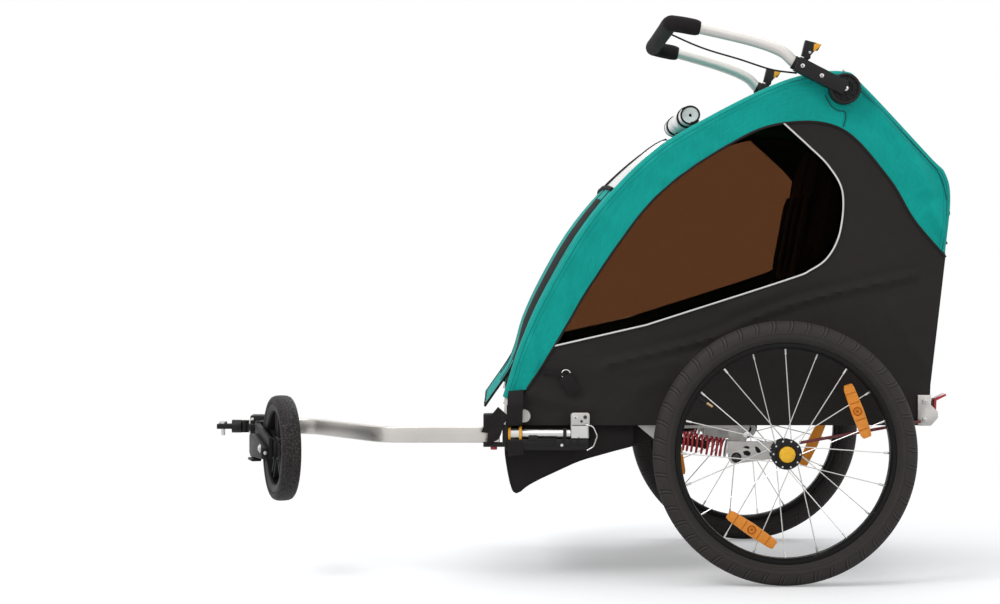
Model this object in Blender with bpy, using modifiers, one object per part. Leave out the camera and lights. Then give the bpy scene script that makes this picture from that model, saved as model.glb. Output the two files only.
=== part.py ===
"""Child bike trailer with two seats, a folding cage, a handlebar, sprung wheels and a tow bar.

Units are metres. +X points to the rear, -Y to the trailer's left, +Z up. Lengths along X are measured
from the wheel axle. One empty carries the whole trailer and puts the origin on the ground under the
middle of its bounding box.
"""

import math

import bmesh
import bpy
from mathutils import Matrix, Vector

# Running gaps between touching pieces, and between a pin and its bore
GAP = 0.0003
PIN_GAP = 0.0006
CUT_MARGIN = 0.02

# Wheels
TYRE_RADIUS = 0.250
TYRE_WIDTH = 0.044
BEAD_RADIUS = 0.208
RIM_INNER_RADIUS = 0.197
RIM_WIDTH = 0.028
WHEEL_FACETS = 32
TRACK = 0.740
SPOKE_COUNT = 20
SPOKE_RADIUS = 0.0011
SPOKE_LEAN = math.radians(35)
HUB_FLANGE_RADIUS = 0.027
HUB_FLANGE_OFFSET = 0.022
HUB_BARREL_RADIUS = 0.015
HUB_NOSE_SHARE = 0.459
HUB_NOSE_WALL = 0.006
HUB_OUTER_REACH = 0.034
HUB_FLANGE_THICKNESS = 0.0044
HUB_FLANGE_SLOPE = 0.006
RIM_LIP = 0.003
AXLE_PIN_RADIUS = 0.006
AXLE_PIN_LENGTH = 0.046
BUTTON_RADIUS = 0.016
BUTTON_DEPTH = 0.008
BUTTON_STAND = 0.004

# Body: its outline runs from the front foot over the roof to the rear, as shares of these sizes
BODY_LENGTH = 0.860
FRONT_TO_AXLE = 0.532
BODY_HALF_WIDTH = 0.2975
ROOF_ABOVE_RAIL = 0.6675
CLOTH = 0.0032
FRONT_COVER_HALF_WIDTH = 0.250
COVER_TIP_REACH = 0.036
COVER_TIP_DROP = 0.018
ROLL_RADIUS = 0.021
ROLL_BEHIND_COVER = 0.045
ROLL_HALF_LENGTH = 0.215

# Frame tubes
TUBE_RADIUS = 0.0127
UPRIGHT_RADIUS = 0.011
RAIL_HEIGHT = 0.3105
REAR_EDGE_FROM_AXLE = 0.285
RAIL_FRONT_INSET = 0.004
FRONT_TUBE_FROM_FRONT = 0.047
AXLE_TUBE_AHEAD = 0.030
REAR_TUBE_FROM_REAR = 0.052
PIVOT_PIN_RADIUS = 0.004
PIVOT_OVERHANG = 0.013
LUG_THICKNESS = 0.0035
LUG_HALF_WIDTH = 0.010
LUG_CLEARANCE = 0.001
LUG_FOOT_BELOW = 0.004
LUG_FOOT_ABOVE = 0.008
UPRIGHT_PIVOT_FROM_REAR = 0.025
UPRIGHT_PIVOT_RISE = 0.0495
UPRIGHT_LENGTH = 0.530
UPRIGHT_CORNER = 0.055

# Floor, footwell and seats
FLOOR_THICKNESS = 0.003
FLOOR_FRONT_FROM_AXLE = -0.240
FLOOR_REAR_INSET = 0.007
FLOOR_SIDE_CLEARANCE = 0.0015
FOOTWELL_LENGTH = 0.373
FOOTWELL_DEPTH = 0.1325
FOOTWELL_SIDE_LAP = 0.0015
FOOTWELL_REAR_LIP = 0.004
FOOTWELL_WAIST_AHEAD = 0.090
TUB_WALL = 0.003
SEAT_FRONT_FROM_AXLE = -0.250
SEAT_REAR_FROM_AXLE = 0.060
SEAT_THICKNESS = 0.034
SEAT_CROWN = 0.012
SEAT_CHANNEL = 0.008
SEAT_HALF_WIDTH = 0.232
SEAT_BACK_THICKNESS = 0.034
SEAT_BACK_AHEAD = 0.020
SEAT_BACK_CLEARANCE = 0.005
HARNESS_WIDTH = 0.150
STRAP_WIDTH = 0.025
STRAP_THICKNESS = 0.002
HARNESS_BELOW = 0.20
HARNESS_ABOVE = 0.17
CHEST_STRAP_LOW = -0.07
CHEST_STRAP_WIDTH = 0.04
CHEST_STRAP_THICKNESS = 0.006
LAP_STRAP_THICKNESS = 0.004
LAP_STRAP_BELOW = 0.01

# Suspension
ARM_PIVOT_AHEAD = 0.085
ARM_PIVOT_DROP = 0.014
ARM_PIN_RADIUS = 0.005
ARM_BOSS_RADIUS = 0.013
AXLE_BOSS_RADIUS = 0.016
SPRING_FRONT = (-0.191, 0.268)
SPRING_REAR = (-0.106, 0.253)
SPRING_RADIUS = 0.0168
SPRING_WIRE_RADIUS = 0.0021
SPRING_COILS = 9
SPRING_SEAT_RADIUS = 0.018
SPRING_SEAT_THICKNESS = 0.003
BRACKET_THICKNESS = 0.005
BRACKET_SIZE = 0.084
BRACKET_LIP = 0.0075
SPRING_STUB_RADIUS = 0.006
SPRING_STUB_BEHIND = 0.005
ARM_BOSS_LENGTH = 0.028
ARM_SIDE_CLEARANCE = 0.0005
ARM_WEB_THICKNESS = 0.012
ARM_HEAD_RADIUS = 0.009
ARM_HEAD_THICKNESS = 0.003

# Rear brackets and parking brake
REAR_BRACKET_THICKNESS = 0.0034
REAR_BRACKET_WIDTH = 0.025
REAR_BRACKET_HEIGHT = 0.059
REAR_BRACKET_FROM_REAR = 0.022
REAR_BRACKET_DROP = 0.0135
BRAKE_PIVOT_BEHIND = 0.0105
BRAKE_PIVOT_RISE = 0.0075
BRAKE_PIN_RADIUS = 0.003
BRAKE_PIN_LENGTH = 0.036
BRAKE_BOSS_RADIUS = 0.0065
BRAKE_LEVER_HEIGHT = 0.040
BRAKE_LEVER_WIDTH = 0.0312
BOLT_RADIUS = 0.0045
BOLT_HEAD = 0.003
ROD_RADIUS = 0.003
ROD_AHEAD_OF_CORNER = 0.005
ROD_ABOVE_CORNER = 0.009
ROD_BEHIND_AXLE = 0.019
ROD_ABOVE_AXLE = 0.0145

# Handlebar
HUB_DROP = 0.036
HUB_DISC_RADIUS = 0.030
HUB_PLATE_THICKNESS = 0.006
HUB_HOLE_RADIUS = 0.022
HUB_HOLE_CLEARANCE = 0.0005
HANDLE_ARM_WIDTH = 0.028
HANDLE_ARM_THICKNESS = 0.026
HANDLE_ARM_REACH = 0.104
HANDLE_ARM_PITCH = math.radians(27.3)
HANDLE_SOCKET_DEPTH = 0.034
HANDLE_DISC_THICKNESS = 0.018
RELEASE_ALONG_ARM = 0.092
RELEASE_KNUCKLE_RADIUS = 0.006
RELEASE_HEIGHT = 0.032
RELEASE_SIDE_INSET = 0.004
RELEASE_WIDTH = 0.018
RELEASE_TRIGGER_INSET = 0.003
HANDLE_TUBE_RADIUS = 0.011
HANDLE_HALF_WIDTH = 0.270
HANDLE_REACH = 0.329
HANDLE_RISE = 0.131
HANDLE_CORNER = 0.055
GRIP_RADIUS = 0.016
GRIP_LEG = 0.056
GRIP_LEG_DROP = 0.011
STRAP_RADIUS = 0.0018
STRAP_SAG = 0.008
STRAP_FROM_MIDDLE = 0.222

# Tow bar and its receiver on the left side
TOW_BAR_HEIGHT = 0.030
TOW_BAR_WIDTH = 0.020
TOW_BAR_CENTRE = 0.281
TOW_PIN_AHEAD = 0.018
TOW_PIN_RADIUS = 0.005
TOW_BAR_END = 0.0115
TOW_BAR_STRAIGHT = 0.210
TOW_BAR_BEND_LENGTH = 0.150
TOW_BAR_TIP_LENGTH = 0.132
TOW_BAR_OFFSET = 0.226
TOW_BAR_CORNER = 0.060
RECEIVER_WIDTH = 0.026
RECEIVER_LENGTH = 0.165
RECEIVER_TUBE_RADIUS = 0.009
RECEIVER_TUBE_LIFT = 0.0013
RECEIVER_FORK_REACH = 0.020
RECEIVER_WEB_BEHIND = 0.0165
RECEIVER_WEB_THICKNESS = 0.010
CHEEK_THICKNESS = 0.0075
CHEEK_ABOVE_RAIL = 0.011
HOUSING_BELOW_CHEEK = 0.0065
BUTTON_BORE = 0.0068
BUTTON_RECESS = 0.0055
BUTTON_CLEARANCE = 0.0005
BUTTON_BELOW = 0.006
BUTTON_ABOVE = 0.002
CLAMP_LENGTH = 0.035
BAIL_WIRE_RADIUS = 0.0013
BAIL_FROM_CLAMP_REAR = 0.008
BAIL_BELOW_CHEEK = 0.020
BAIL_DROP = 0.050
EDGE_ROUNDING = 0.002
HITCH_RADIUS = 0.013
HITCH_LENGTH = 0.034
HITCH_KNUCKLE_RADIUS = 0.009
TONGUE_REACH = 0.030
TONGUE_WIDTH = 0.020
TONGUE_THICKNESS = 0.010
HITCH_PIN_RADIUS = 0.004
HITCH_PIN_FROM_TIP = 0.012
HITCH_PIN_BELOW = 0.018
HITCH_PIN_HEAD_RADIUS = 0.008
HITCH_PIN_HEAD_THICKNESS = 0.005

# Stroller wheel kit on the tow bar
KIT_WHEEL_RADIUS = 0.101
KIT_WHEEL_WIDTH = 0.040
KIT_WHEEL_TRAIL = 0.027
KIT_TURN = math.radians(17)
KIT_PIN_RADIUS = 0.004
KIT_STEM_RADIUS = 0.008
KIT_AXLE_RADIUS = 0.006
KIT_FORK_THICKNESS = 0.0075
KIT_FROM_TIP = 0.032
KIT_HINGE_OUT = 0.026
KIT_HALF = 0.019
KIT_LUG_THICKNESS = 0.0085
KIT_LUG_HALF = 0.007
KIT_CLAMP_HALF_HEIGHT = 0.023
KIT_CLAMP_FROM_HINGE = 0.014
KIT_CLAMP_BEHIND_BAR = 0.012
KIT_SOCKET_END = 0.030
KIT_SOCKET_START = 0.057
KIT_SOCKET_HALF = 0.016
KIT_NECK_HALF = 0.006
KIT_NECK_INSET = 0.003
KIT_KNUCKLE_RADIUS = 0.0068
KIT_CROWN_THICKNESS = 0.008
KIT_CROWN_BELOW = 0.020
KIT_CROWN_ABOVE = 0.017
KIT_CROWN_REACH = 0.014
KIT_BLADE_TOP = 0.015
KIT_BLADE_HALF = 0.020
KIT_BLADE_END = 0.014
KIT_TREAD = 0.012
KIT_DISH = 0.010
KIT_HUB_RADIUS = 0.020
KIT_SHOULDER = 0.003

# Values worked out from the sizes above
AXLE_HEIGHT = TYRE_RADIUS
WHEEL_PLANE = TRACK / 2
BODY_FRONT = -FRONT_TO_AXLE
TUBE_PLANE = BODY_HALF_WIDTH - CLOTH - GAP - TUBE_RADIUS
TUBE_INNER_FACE = TUBE_PLANE - TUBE_RADIUS
TUBE_OUTER_FACE = TUBE_PLANE + TUBE_RADIUS
RAIL_TOP = RAIL_HEIGHT + TUBE_RADIUS
RAIL_BOTTOM = RAIL_HEIGHT - TUBE_RADIUS
BODY_BOTTOM = RAIL_BOTTOM - GAP
LUG_FACE = TUBE_INNER_FACE - LUG_CLEARANCE
UPRIGHT_PLANE = LUG_FACE - LUG_THICKNESS - GAP - UPRIGHT_RADIUS
FLOOR_BOTTOM = RAIL_TOP + GAP
FLOOR_TOP = FLOOR_BOTTOM + FLOOR_THICKNESS
TOW_PLANE = -(BODY_HALF_WIDTH + GAP + RECEIVER_WIDTH / 2)
TOW_PIN_X = BODY_FRONT - TOW_PIN_AHEAD
TOW_TIP_X = TOW_PIN_X - TOW_BAR_STRAIGHT - TOW_BAR_BEND_LENGTH - TOW_BAR_TIP_LENGTH
HITCH_TIP_X = TOW_TIP_X - GAP - HITCH_LENGTH - TONGUE_REACH
REAR_REACH = BODY_LENGTH - FRONT_TO_AXLE
AXLE_X = -(HITCH_TIP_X + REAR_REACH) / 2

for old in list(bpy.data.objects):
    bpy.data.objects.remove(old, do_unlink=True)

parts = bpy.data.collections.new("child_bike_trailer")
bpy.context.scene.collection.children.link(parts)


# Helpers that make one mesh object each, with its mesh already in place


def bake(shape):
    """Turn an object with modifiers, or a curve, into a plain mesh object in place."""
    bpy.context.view_layer.update()
    seen = shape.evaluated_get(bpy.context.evaluated_depsgraph_get())
    mesh = bpy.data.meshes.new_from_object(seen)
    mesh.transform(shape.matrix_world)
    bpy.data.objects.remove(shape, do_unlink=True)
    cage = bmesh.new()
    cage.from_mesh(mesh)
    bmesh.ops.remove_doubles(cage, verts=cage.verts, dist=1e-6)
    bmesh.ops.dissolve_degenerate(cage, edges=cage.edges, dist=1e-6)
    bmesh.ops.recalc_face_normals(cage, faces=cage.faces)
    cage.to_mesh(mesh)
    cage.free()
    solid = bpy.data.objects.new("solid", mesh)
    parts.objects.link(solid)
    return solid


def from_bmesh(cage):
    """A mesh object from a bmesh."""
    mesh = bpy.data.meshes.new("solid")
    cage.to_mesh(mesh)
    cage.free()
    solid = bpy.data.objects.new("solid", mesh)
    parts.objects.link(solid)
    return solid


def combine(body, others, operation="UNION"):
    """Join other solids to a body, or cut them from it."""
    for other in others:
        step = body.modifiers.new(operation.lower(), "BOOLEAN")
        step.operation = operation
        step.object = other
    result = bake(body)
    for other in others:
        bpy.data.objects.remove(other, do_unlink=True)
    return result


def cut(body, *cutters):
    return combine(body, cutters, "DIFFERENCE")


def box(low, high, bevel=0.0):
    """A box between two corners, with its edges rounded by a bevel."""
    low, high = Vector(low), Vector(high)
    size = [abs(length) for length in high - low]
    cage = bmesh.new()
    bmesh.ops.create_cube(cage, size=1.0)
    bmesh.ops.scale(cage, vec=size, verts=cage.verts)
    bmesh.ops.translate(cage, vec=(low + high) / 2, verts=cage.verts)
    if bevel:
        bmesh.ops.bevel(cage, geom=cage.edges[:], offset=bevel, segments=1, affect="EDGES")
    return from_bmesh(cage)


def cylinder(start, end, radius, sides=24, end_radius=None):
    """A cylinder, or a cone, between the centres of its two ends."""
    start, end = Vector(start), Vector(end)
    cage = bmesh.new()
    bmesh.ops.create_cone(
        cage,
        cap_ends=True,
        segments=sides,
        radius1=radius,
        radius2=radius if end_radius is None else end_radius,
        depth=(end - start).length,
    )
    turn = Vector((0, 0, 1)).rotation_difference(end - start).to_matrix().to_4x4()
    bmesh.ops.transform(cage, matrix=Matrix.Translation((start + end) / 2) @ turn, verts=cage.verts)
    return from_bmesh(cage)


def turned(profile, centre, axis, steps, ring=False):
    """A solid turned about an axis from (radius, height) points, top to bottom down its outer side."""
    mesh = bpy.data.meshes.new("profile")
    edges = [(i, i + 1) for i in range(len(profile) - 1)]
    if ring:
        edges.append((len(profile) - 1, 0))
    mesh.from_pydata([(radius, 0, height) for radius, height in profile], edges, [])
    shape = bpy.data.objects.new("profile", mesh)
    parts.objects.link(shape)
    screw = shape.modifiers.new("screw", "SCREW")
    screw.steps = steps
    screw.render_steps = steps
    screw.use_merge_vertices = True
    screw.merge_threshold = 0.00001
    shape.matrix_world = (
        Matrix.Translation(centre)
        @ Vector((0, 0, 1)).rotation_difference(Vector(axis)).to_matrix().to_4x4()
    )
    return bake(shape)


def tube(points, radius, resolution=3):
    """A rod along a path, with 4 + 2 * resolution sides."""
    curve = bpy.data.curves.new("path", "CURVE")
    curve.dimensions = "3D"
    curve.bevel_depth = radius
    curve.bevel_resolution = resolution
    curve.use_fill_caps = True
    spline = curve.splines.new("POLY")
    spline.points.add(len(points) - 1)
    for point, place in zip(spline.points, points):
        point.co = (*place, 1.0)
    shape = bpy.data.objects.new("path", curve)
    parts.objects.link(shape)
    return bake(shape)


def flat(outline, thickness, turn, move):
    """A flat outline given a thickness, turned and moved into place."""
    curve = bpy.data.curves.new("outline", "CURVE")
    curve.dimensions = "2D"
    curve.fill_mode = "BOTH"
    curve.extrude = thickness / 2
    spline = curve.splines.new("POLY")
    spline.points.add(len(outline) - 1)
    for point, (across, along) in zip(spline.points, outline):
        point.co = (across, along, 0, 1)
    spline.use_cyclic_u = True
    shape = bpy.data.objects.new("outline", curve)
    shape.matrix_world = Matrix.Translation(move) @ turn
    parts.objects.link(shape)
    return bake(shape)


def side_plate(outline, y_low, y_high):
    """A plate in the XZ plane between two Y values, from (x, z) points."""
    turn = Matrix.Rotation(math.pi / 2, 4, "X")
    return flat(outline, abs(y_high - y_low), turn, (0, (y_low + y_high) / 2, 0))


def top_plate(outline, z_low, z_high):
    """A plate in the XY plane between two Z values, from (x, y) points."""
    return flat(outline, z_high - z_low, Matrix.Identity(4), (0, 0, (z_low + z_high) / 2))


def rounded(points, radius, steps=4):
    """A path with each inner corner replaced by an arc of a radius."""
    points = [Vector(point) for point in points]
    path = [points[0]]
    for before, corner, after in zip(points, points[1:], points[2:]):
        back = (before - corner).normalized()
        on = (after - corner).normalized()
        half = back.angle(on) / 2
        reach = min(radius / math.tan(half), 0.48 * (before - corner).length, 0.48 * (after - corner).length)
        bend = reach * math.tan(half)
        centre = corner + (back + on).normalized() * (bend / math.sin(half))
        first = corner + back * reach - centre
        last = corner + on * reach - centre
        for i in range(steps + 1):
            path.append(centre + first.slerp(last, i / steps).normalized() * bend)
    path.append(points[-1])
    return path


def smooth(points, steps):
    """A smooth curve through points, with a number of steps between each two."""
    points = [Vector(point) for point in points]
    ends = [points[0] * 2 - points[1], *points, points[-1] * 2 - points[-2]]
    path = []
    for a, b, c, d in zip(ends, ends[1:], ends[2:], ends[3:]):
        for i in range(steps):
            t = i / steps
            bend = (a * 2 - b * 5 + c * 4 - d) * t**2 + (b * 3 - a - c * 3 + d) * t**3
            path.append((b * 2 + (c - a) * t + bend) / 2)
    path.append(points[-1])
    return path


def inset(points, distance, closed=False):
    """An outline moved to its right-hand side by a distance."""
    points = [Vector(point) for point in points]
    count = len(points)
    moved = []
    for i, point in enumerate(points):
        before = points[i - 1] if closed or i > 0 else None
        after = points[(i + 1) % count] if closed or i < count - 1 else None
        into = (point - before).normalized() if before is not None else (after - point).normalized()
        on = (after - point).normalized() if after is not None else into
        right_in = Vector((into.y, -into.x))
        right_on = Vector((on.y, -on.x))
        middle = (right_in + right_on).normalized()
        moved.append(point + middle * distance / max(middle.dot(right_in), 0.5))
    return moved


def cushion(length, width, thickness, crown, rows, columns, channel):
    """A padded panel lying on Z = 0: its top crowned, its sides drawn in, a channel down its middle."""
    cage = bmesh.new()
    bmesh.ops.create_grid(cage, x_segments=rows, y_segments=columns, size=0.5)
    bmesh.ops.scale(cage, vec=(length, width, 1), verts=cage.verts)
    under = cage.faces[:]
    lifted = bmesh.ops.extrude_face_region(cage, geom=under, use_keep_orig=True)["geom"]
    for vert in [item for item in lifted if isinstance(item, bmesh.types.BMVert)]:
        u = 2 * vert.co.x / length
        v = 2 * vert.co.y / width
        swell = min(1.8 * (1 - u * u) * (1 - v * v), 1)
        dip = channel if abs(v) < 0.01 and abs(u) < 0.99 else 0
        vert.co.z = thickness + crown * swell - dip
    bmesh.ops.recalc_face_normals(cage, faces=cage.faces)
    shape = from_bmesh(cage)
    soft = shape.modifiers.new("soft", "SUBSURF")
    soft.levels = 1
    soft.render_levels = 1
    solid = bake(shape)
    spots = [vert.co for vert in solid.data.vertices]
    low = Vector([min(spot[i] for spot in spots) for i in range(3)])
    high = Vector([max(spot[i] for spot in spots) for i in range(3)])
    sizes = (length, width, thickness + crown)
    stretch = Matrix.Diagonal([size / (top - foot) for size, top, foot in zip(sizes, high, low)] + [1])
    return place(solid, stretch @ Matrix.Translation((0, 0, -low.z)))


def place(shape, matrix):
    """Move a mesh object by changing its mesh."""
    shape.data.transform(matrix)
    return shape


def in_side(point, y):
    """A place in space from an (x, z) point and a Y value."""
    return (point.x, y, point.y)


paints = {}


def paint(name, colour, roughness, metallic=0.0):
    """A plain material with the piece's colour."""
    material = bpy.data.materials.new(name)
    material.use_nodes = True
    surface = material.node_tree.nodes["Principled BSDF"]
    surface.inputs["Base Color"].default_value = (*colour, 1)
    surface.inputs["Roughness"].default_value = roughness
    surface.inputs["Metallic"].default_value = metallic
    paints[name] = material


paint("teal_cloth", (0.0, 0.33, 0.29), 0.75)
paint("black_cloth", (0.016, 0.012, 0.012), 0.85)
paint("tinted_film", (0.07, 0.03, 0.012), 0.2)
paint("clear_film", (0.7, 0.7, 0.7), 0.15)
paint("aluminium", (0.6, 0.56, 0.52), 0.35, 1.0)
paint("cast_silver", (0.62, 0.6, 0.58), 0.45, 1.0)
paint("steel", (0.7, 0.7, 0.7), 0.2, 1.0)
paint("black_paint", (0.012, 0.012, 0.012), 0.4)
paint("black_plastic", (0.015, 0.013, 0.013), 0.5)
paint("rubber", (0.03, 0.025, 0.022), 0.8)
paint("foam", (0.012, 0.01, 0.01), 0.9)
paint("red_paint", (0.45, 0.01, 0.015), 0.3)
paint("yellow_plastic", (0.85, 0.45, 0.03), 0.35)
paint("webbing", (0.02, 0.018, 0.018), 0.8)


def pivot(name, place_at, parent=None):
    """An empty on a joint's axis, placed in the trailer's own axle-based lengths."""
    empty = bpy.data.objects.new(name, None)
    empty.empty_display_size = 0.03
    parts.objects.link(empty)
    at = Vector(place_at)
    if parent is None:
        empty.location = at
    else:
        empty.parent = parent[0]
        empty.location = at - parent[1]
    return empty, at


def finish(shape, name, material, carrier):
    """Name a solid, colour it and hang it on its carrier."""
    shape.name = name
    shape.data.name = name
    shape.data.materials.clear()
    shape.data.materials.append(paints[material])
    shape.data.shade_smooth()
    shape.data.set_sharp_from_angle(angle=math.radians(35))
    shape.parent = carrier[0]
    shape.location = -carrier[1]
    return shape


SIDES = {"left": -1, "right": 1}

trailer = bpy.data.objects.new("trailer", None)
parts.objects.link(trailer)
trailer.location = (AXLE_X, 0, 0)
base = (trailer, Vector((0, 0, 0)))


# The body's outline and the seams on its side, as shares of the body's length and height


def on_body(share):
    """The (x, z) place of a share of the body's length and of its height above the rails."""
    return Vector((BODY_FRONT + share[0] * BODY_LENGTH, RAIL_HEIGHT + share[1] * ROOF_ABOVE_RAIL))


ARCH = [
    (0.000, 0.062),
    (0.043, 0.228),
    (0.102, 0.384),
    (0.198, 0.584),
    (0.327, 0.760),
    (0.463, 0.871),
    (0.635, 0.976),
    (0.759, 1.000),
    (0.810, 0.953),
    (0.954, 0.754),
    (0.989, 0.705),
    (1.000, 0.627),
    (0.987, 0.464),
]
APEX = 7
REAR_CORNER = 11
SEAM = [
    (0.0535, 0.085),
    (0.115, 0.209),
    (0.207, 0.407),
    (0.343, 0.639),
    (0.506, 0.789),
    (0.626, 0.849),
    (0.755, 0.832),
    (0.858, 0.694),
    (0.917, 0.570),
    (0.987, 0.464),
]
WINDOW_FIRST = 1
WINDOW_LAST = 5
PIPING = [
    (0.677, 0.789),
    (0.726, 0.726),
    (0.757, 0.650),
    (0.752, 0.540),
    (0.726, 0.467),
    (0.686, 0.427),
    (0.626, 0.396),
    (0.319, 0.269),
]
ARCH_STEPS = 2
arch = smooth([on_body(share) for share in ARCH], ARCH_STEPS)
seam = smooth([on_body(share) for share in SEAM], ARCH_STEPS)
piping = smooth([on_body(share) for share in PIPING], ARCH_STEPS)
roll_station = 4 * ARCH_STEPS + 1
body_rear_bottom = Vector((REAR_EDGE_FROM_AXLE, BODY_BOTTOM))
body_rear_knee = Vector((REAR_EDGE_FROM_AXLE + 0.003, RAIL_HEIGHT + 0.0645))
body_front_bottom = Vector((BODY_FRONT + 0.007, BODY_BOTTOM))

tube_line = inset(arch, CLOTH + GAP + TUBE_RADIUS)
cage_pivot = tube_line[0]
hub_centre = Vector((on_body(ARCH[APEX]).x, on_body(ARCH[APEX]).y - HUB_DROP))
upright_pivot = Vector((REAR_EDGE_FROM_AXLE - UPRIGHT_PIVOT_FROM_REAR, RAIL_HEIGHT + UPRIGHT_PIVOT_RISE))

cage = pivot("cage_pivot", (cage_pivot.x, 0, cage_pivot.y), base)
uprights = pivot("upright_pivot", (upright_pivot.x, 0, upright_pivot.y), base)


# Base frame: two rails with hinge lugs and pins, three cross tubes, and the floor on them


def hinge_lug(side, at, pin_reach):
    """A round-topped lug on a rail's inner side, with a foot into the rail and a pin across it."""
    inner = side * (LUG_FACE - LUG_THICKNESS)
    top = [
        at + LUG_HALF_WIDTH * Vector((math.cos(math.pi * i / 8), math.sin(math.pi * i / 8)))
        for i in range(9)
    ]
    bottom = [Vector((at.x + end * LUG_HALF_WIDTH, RAIL_HEIGHT)) for end in (-1, 1)]
    plate = side_plate(top + bottom, inner, side * LUG_FACE)
    foot = box(
        (at.x - LUG_HALF_WIDTH, inner, RAIL_HEIGHT - LUG_FOOT_BELOW),
        (at.x + LUG_HALF_WIDTH, side * TUBE_PLANE, RAIL_HEIGHT + LUG_FOOT_ABOVE),
    )
    middle = side * (LUG_FACE - LUG_THICKNESS / 2)
    pin = cylinder((at.x, middle, at.y), (at.x, side * pin_reach, at.y), PIVOT_PIN_RADIUS, 12)
    return [plate, foot, pin]


for word, side in SIDES.items():
    rail = cylinder(
        (BODY_FRONT + RAIL_FRONT_INSET, side * TUBE_PLANE, RAIL_HEIGHT),
        (REAR_EDGE_FROM_AXLE - CLOTH - GAP, side * TUBE_PLANE, RAIL_HEIGHT),
        TUBE_RADIUS,
        16,
    )
    lugs = hinge_lug(side, cage_pivot, TUBE_OUTER_FACE)
    lugs += hinge_lug(side, upright_pivot, UPRIGHT_PLANE - UPRIGHT_RADIUS)
    finish(combine(rail, lugs), f"base_rail_{word}", "black_paint", base)

CROSS_TUBES = {
    "front_cross_tube": BODY_FRONT + FRONT_TUBE_FROM_FRONT,
    "axle_cross_tube": -AXLE_TUBE_AHEAD,
    "rear_cross_tube": REAR_EDGE_FROM_AXLE - REAR_TUBE_FROM_REAR,
}
for name, x in CROSS_TUBES.items():
    reach = TUBE_INNER_FACE - GAP
    cross = cylinder((x, -reach, RAIL_HEIGHT), (x, reach, RAIL_HEIGHT), TUBE_RADIUS, 16)
    finish(cross, name, "black_paint", base)

floor_half_width = LUG_FACE - LUG_THICKNESS - FLOOR_SIDE_CLEARANCE
floor = box(
    (FLOOR_FRONT_FROM_AXLE, -floor_half_width, FLOOR_BOTTOM),
    (REAR_EDGE_FROM_AXLE - FLOOR_REAR_INSET, floor_half_width, FLOOR_TOP),
)
finish(floor, "floor_panel", "black_cloth", base)


# Footwell: an open tub below the rails, deepest at the front

FOOTWELL = [
    (0.0, 0.0),
    (0.0, 0.449),
    (0.032, 0.909),
    (0.059, 1.0),
    (0.145, 0.834),
    (0.383, 0.5245),
    (0.641, 0.321),
    (1.0, 0.068),
    (1.0, 0.0),
]
tub_front = BODY_FRONT + RAIL_FRONT_INSET
footwell = [Vector((tub_front + x * FOOTWELL_LENGTH, BODY_BOTTOM - z * FOOTWELL_DEPTH)) for x, z in FOOTWELL]
tub_half_width = TUBE_PLANE + FOOTWELL_SIDE_LAP
waist_half_width = TUBE_INNER_FACE - 2 * GAP - BRACKET_THICKNESS
waist_front = SPRING_FRONT[0] - FOOTWELL_WAIST_AHEAD
hollow = inset(footwell, -TUB_WALL)
hollow[0] = Vector((hollow[1].x, BODY_BOTTOM + CUT_MARGIN))
hollow[-2] = Vector((hollow[-2].x - FOOTWELL_REAR_LIP, BODY_BOTTOM - TUB_WALL))
hollow[-1] = Vector((hollow[-2].x, BODY_BOTTOM + CUT_MARGIN))


def waisted(outline, half_width, waist, front):
    """A block across the trailer that steps in at both sides behind a place along it."""
    notches = [
        box(
            (front, side * waist, 0),
            (REAR_EDGE_FROM_AXLE, side * BODY_HALF_WIDTH, RAIL_HEIGHT + CUT_MARGIN),
        )
        for side in SIDES.values()
    ]
    return cut(side_plate(outline, -half_width, half_width), *notches)


tub = cut(
    waisted(footwell, tub_half_width, waist_half_width, waist_front),
    waisted(hollow, tub_half_width - TUB_WALL, waist_half_width - TUB_WALL, waist_front - TUB_WALL),
)
finish(tub, "footwell", "black_cloth", base)


# Seats: one base cushion on the floor, one back that hangs under the upright frame's top bar

seat_length = SEAT_REAR_FROM_AXLE - SEAT_FRONT_FROM_AXLE
seat = cushion(seat_length, 2 * SEAT_HALF_WIDTH, SEAT_THICKNESS, SEAT_CROWN, 4, 4, SEAT_CHANNEL)
seat_middle = (SEAT_REAR_FROM_AXLE + SEAT_FRONT_FROM_AXLE) / 2
place(seat, Matrix.Translation((seat_middle, 0, FLOOR_TOP + GAP)))
finish(seat, "seat_base", "black_cloth", base)

upright_way = (hub_centre - upright_pivot).normalized()
upright_top = upright_pivot + upright_way * UPRIGHT_LENGTH
back_foot = Vector((SEAT_REAR_FROM_AXLE - SEAT_BACK_AHEAD, FLOOR_TOP + SEAT_THICKNESS + SEAT_BACK_CLEARANCE))
back_way = (upright_top - back_foot).normalized()
back_length = (upright_top - back_foot).length - UPRIGHT_RADIUS - GAP
back = cushion(back_length, 2 * SEAT_HALF_WIDTH, SEAT_BACK_THICKNESS, SEAT_CROWN, 6, 4, SEAT_CHANNEL)
lean = math.atan2(back_way.x, back_way.y)
stand = Matrix.Rotation(lean - math.pi / 2, 4, "Y")
back_middle = back_foot + back_way * back_length / 2
back_place = Matrix.Translation((back_middle.x, 0, back_middle.y)) @ stand
place(back, back_place @ Matrix.Translation((0, 0, -SEAT_BACK_THICKNESS / 2)))
finish(back, "seat_back", "black_cloth", uprights)

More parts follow.
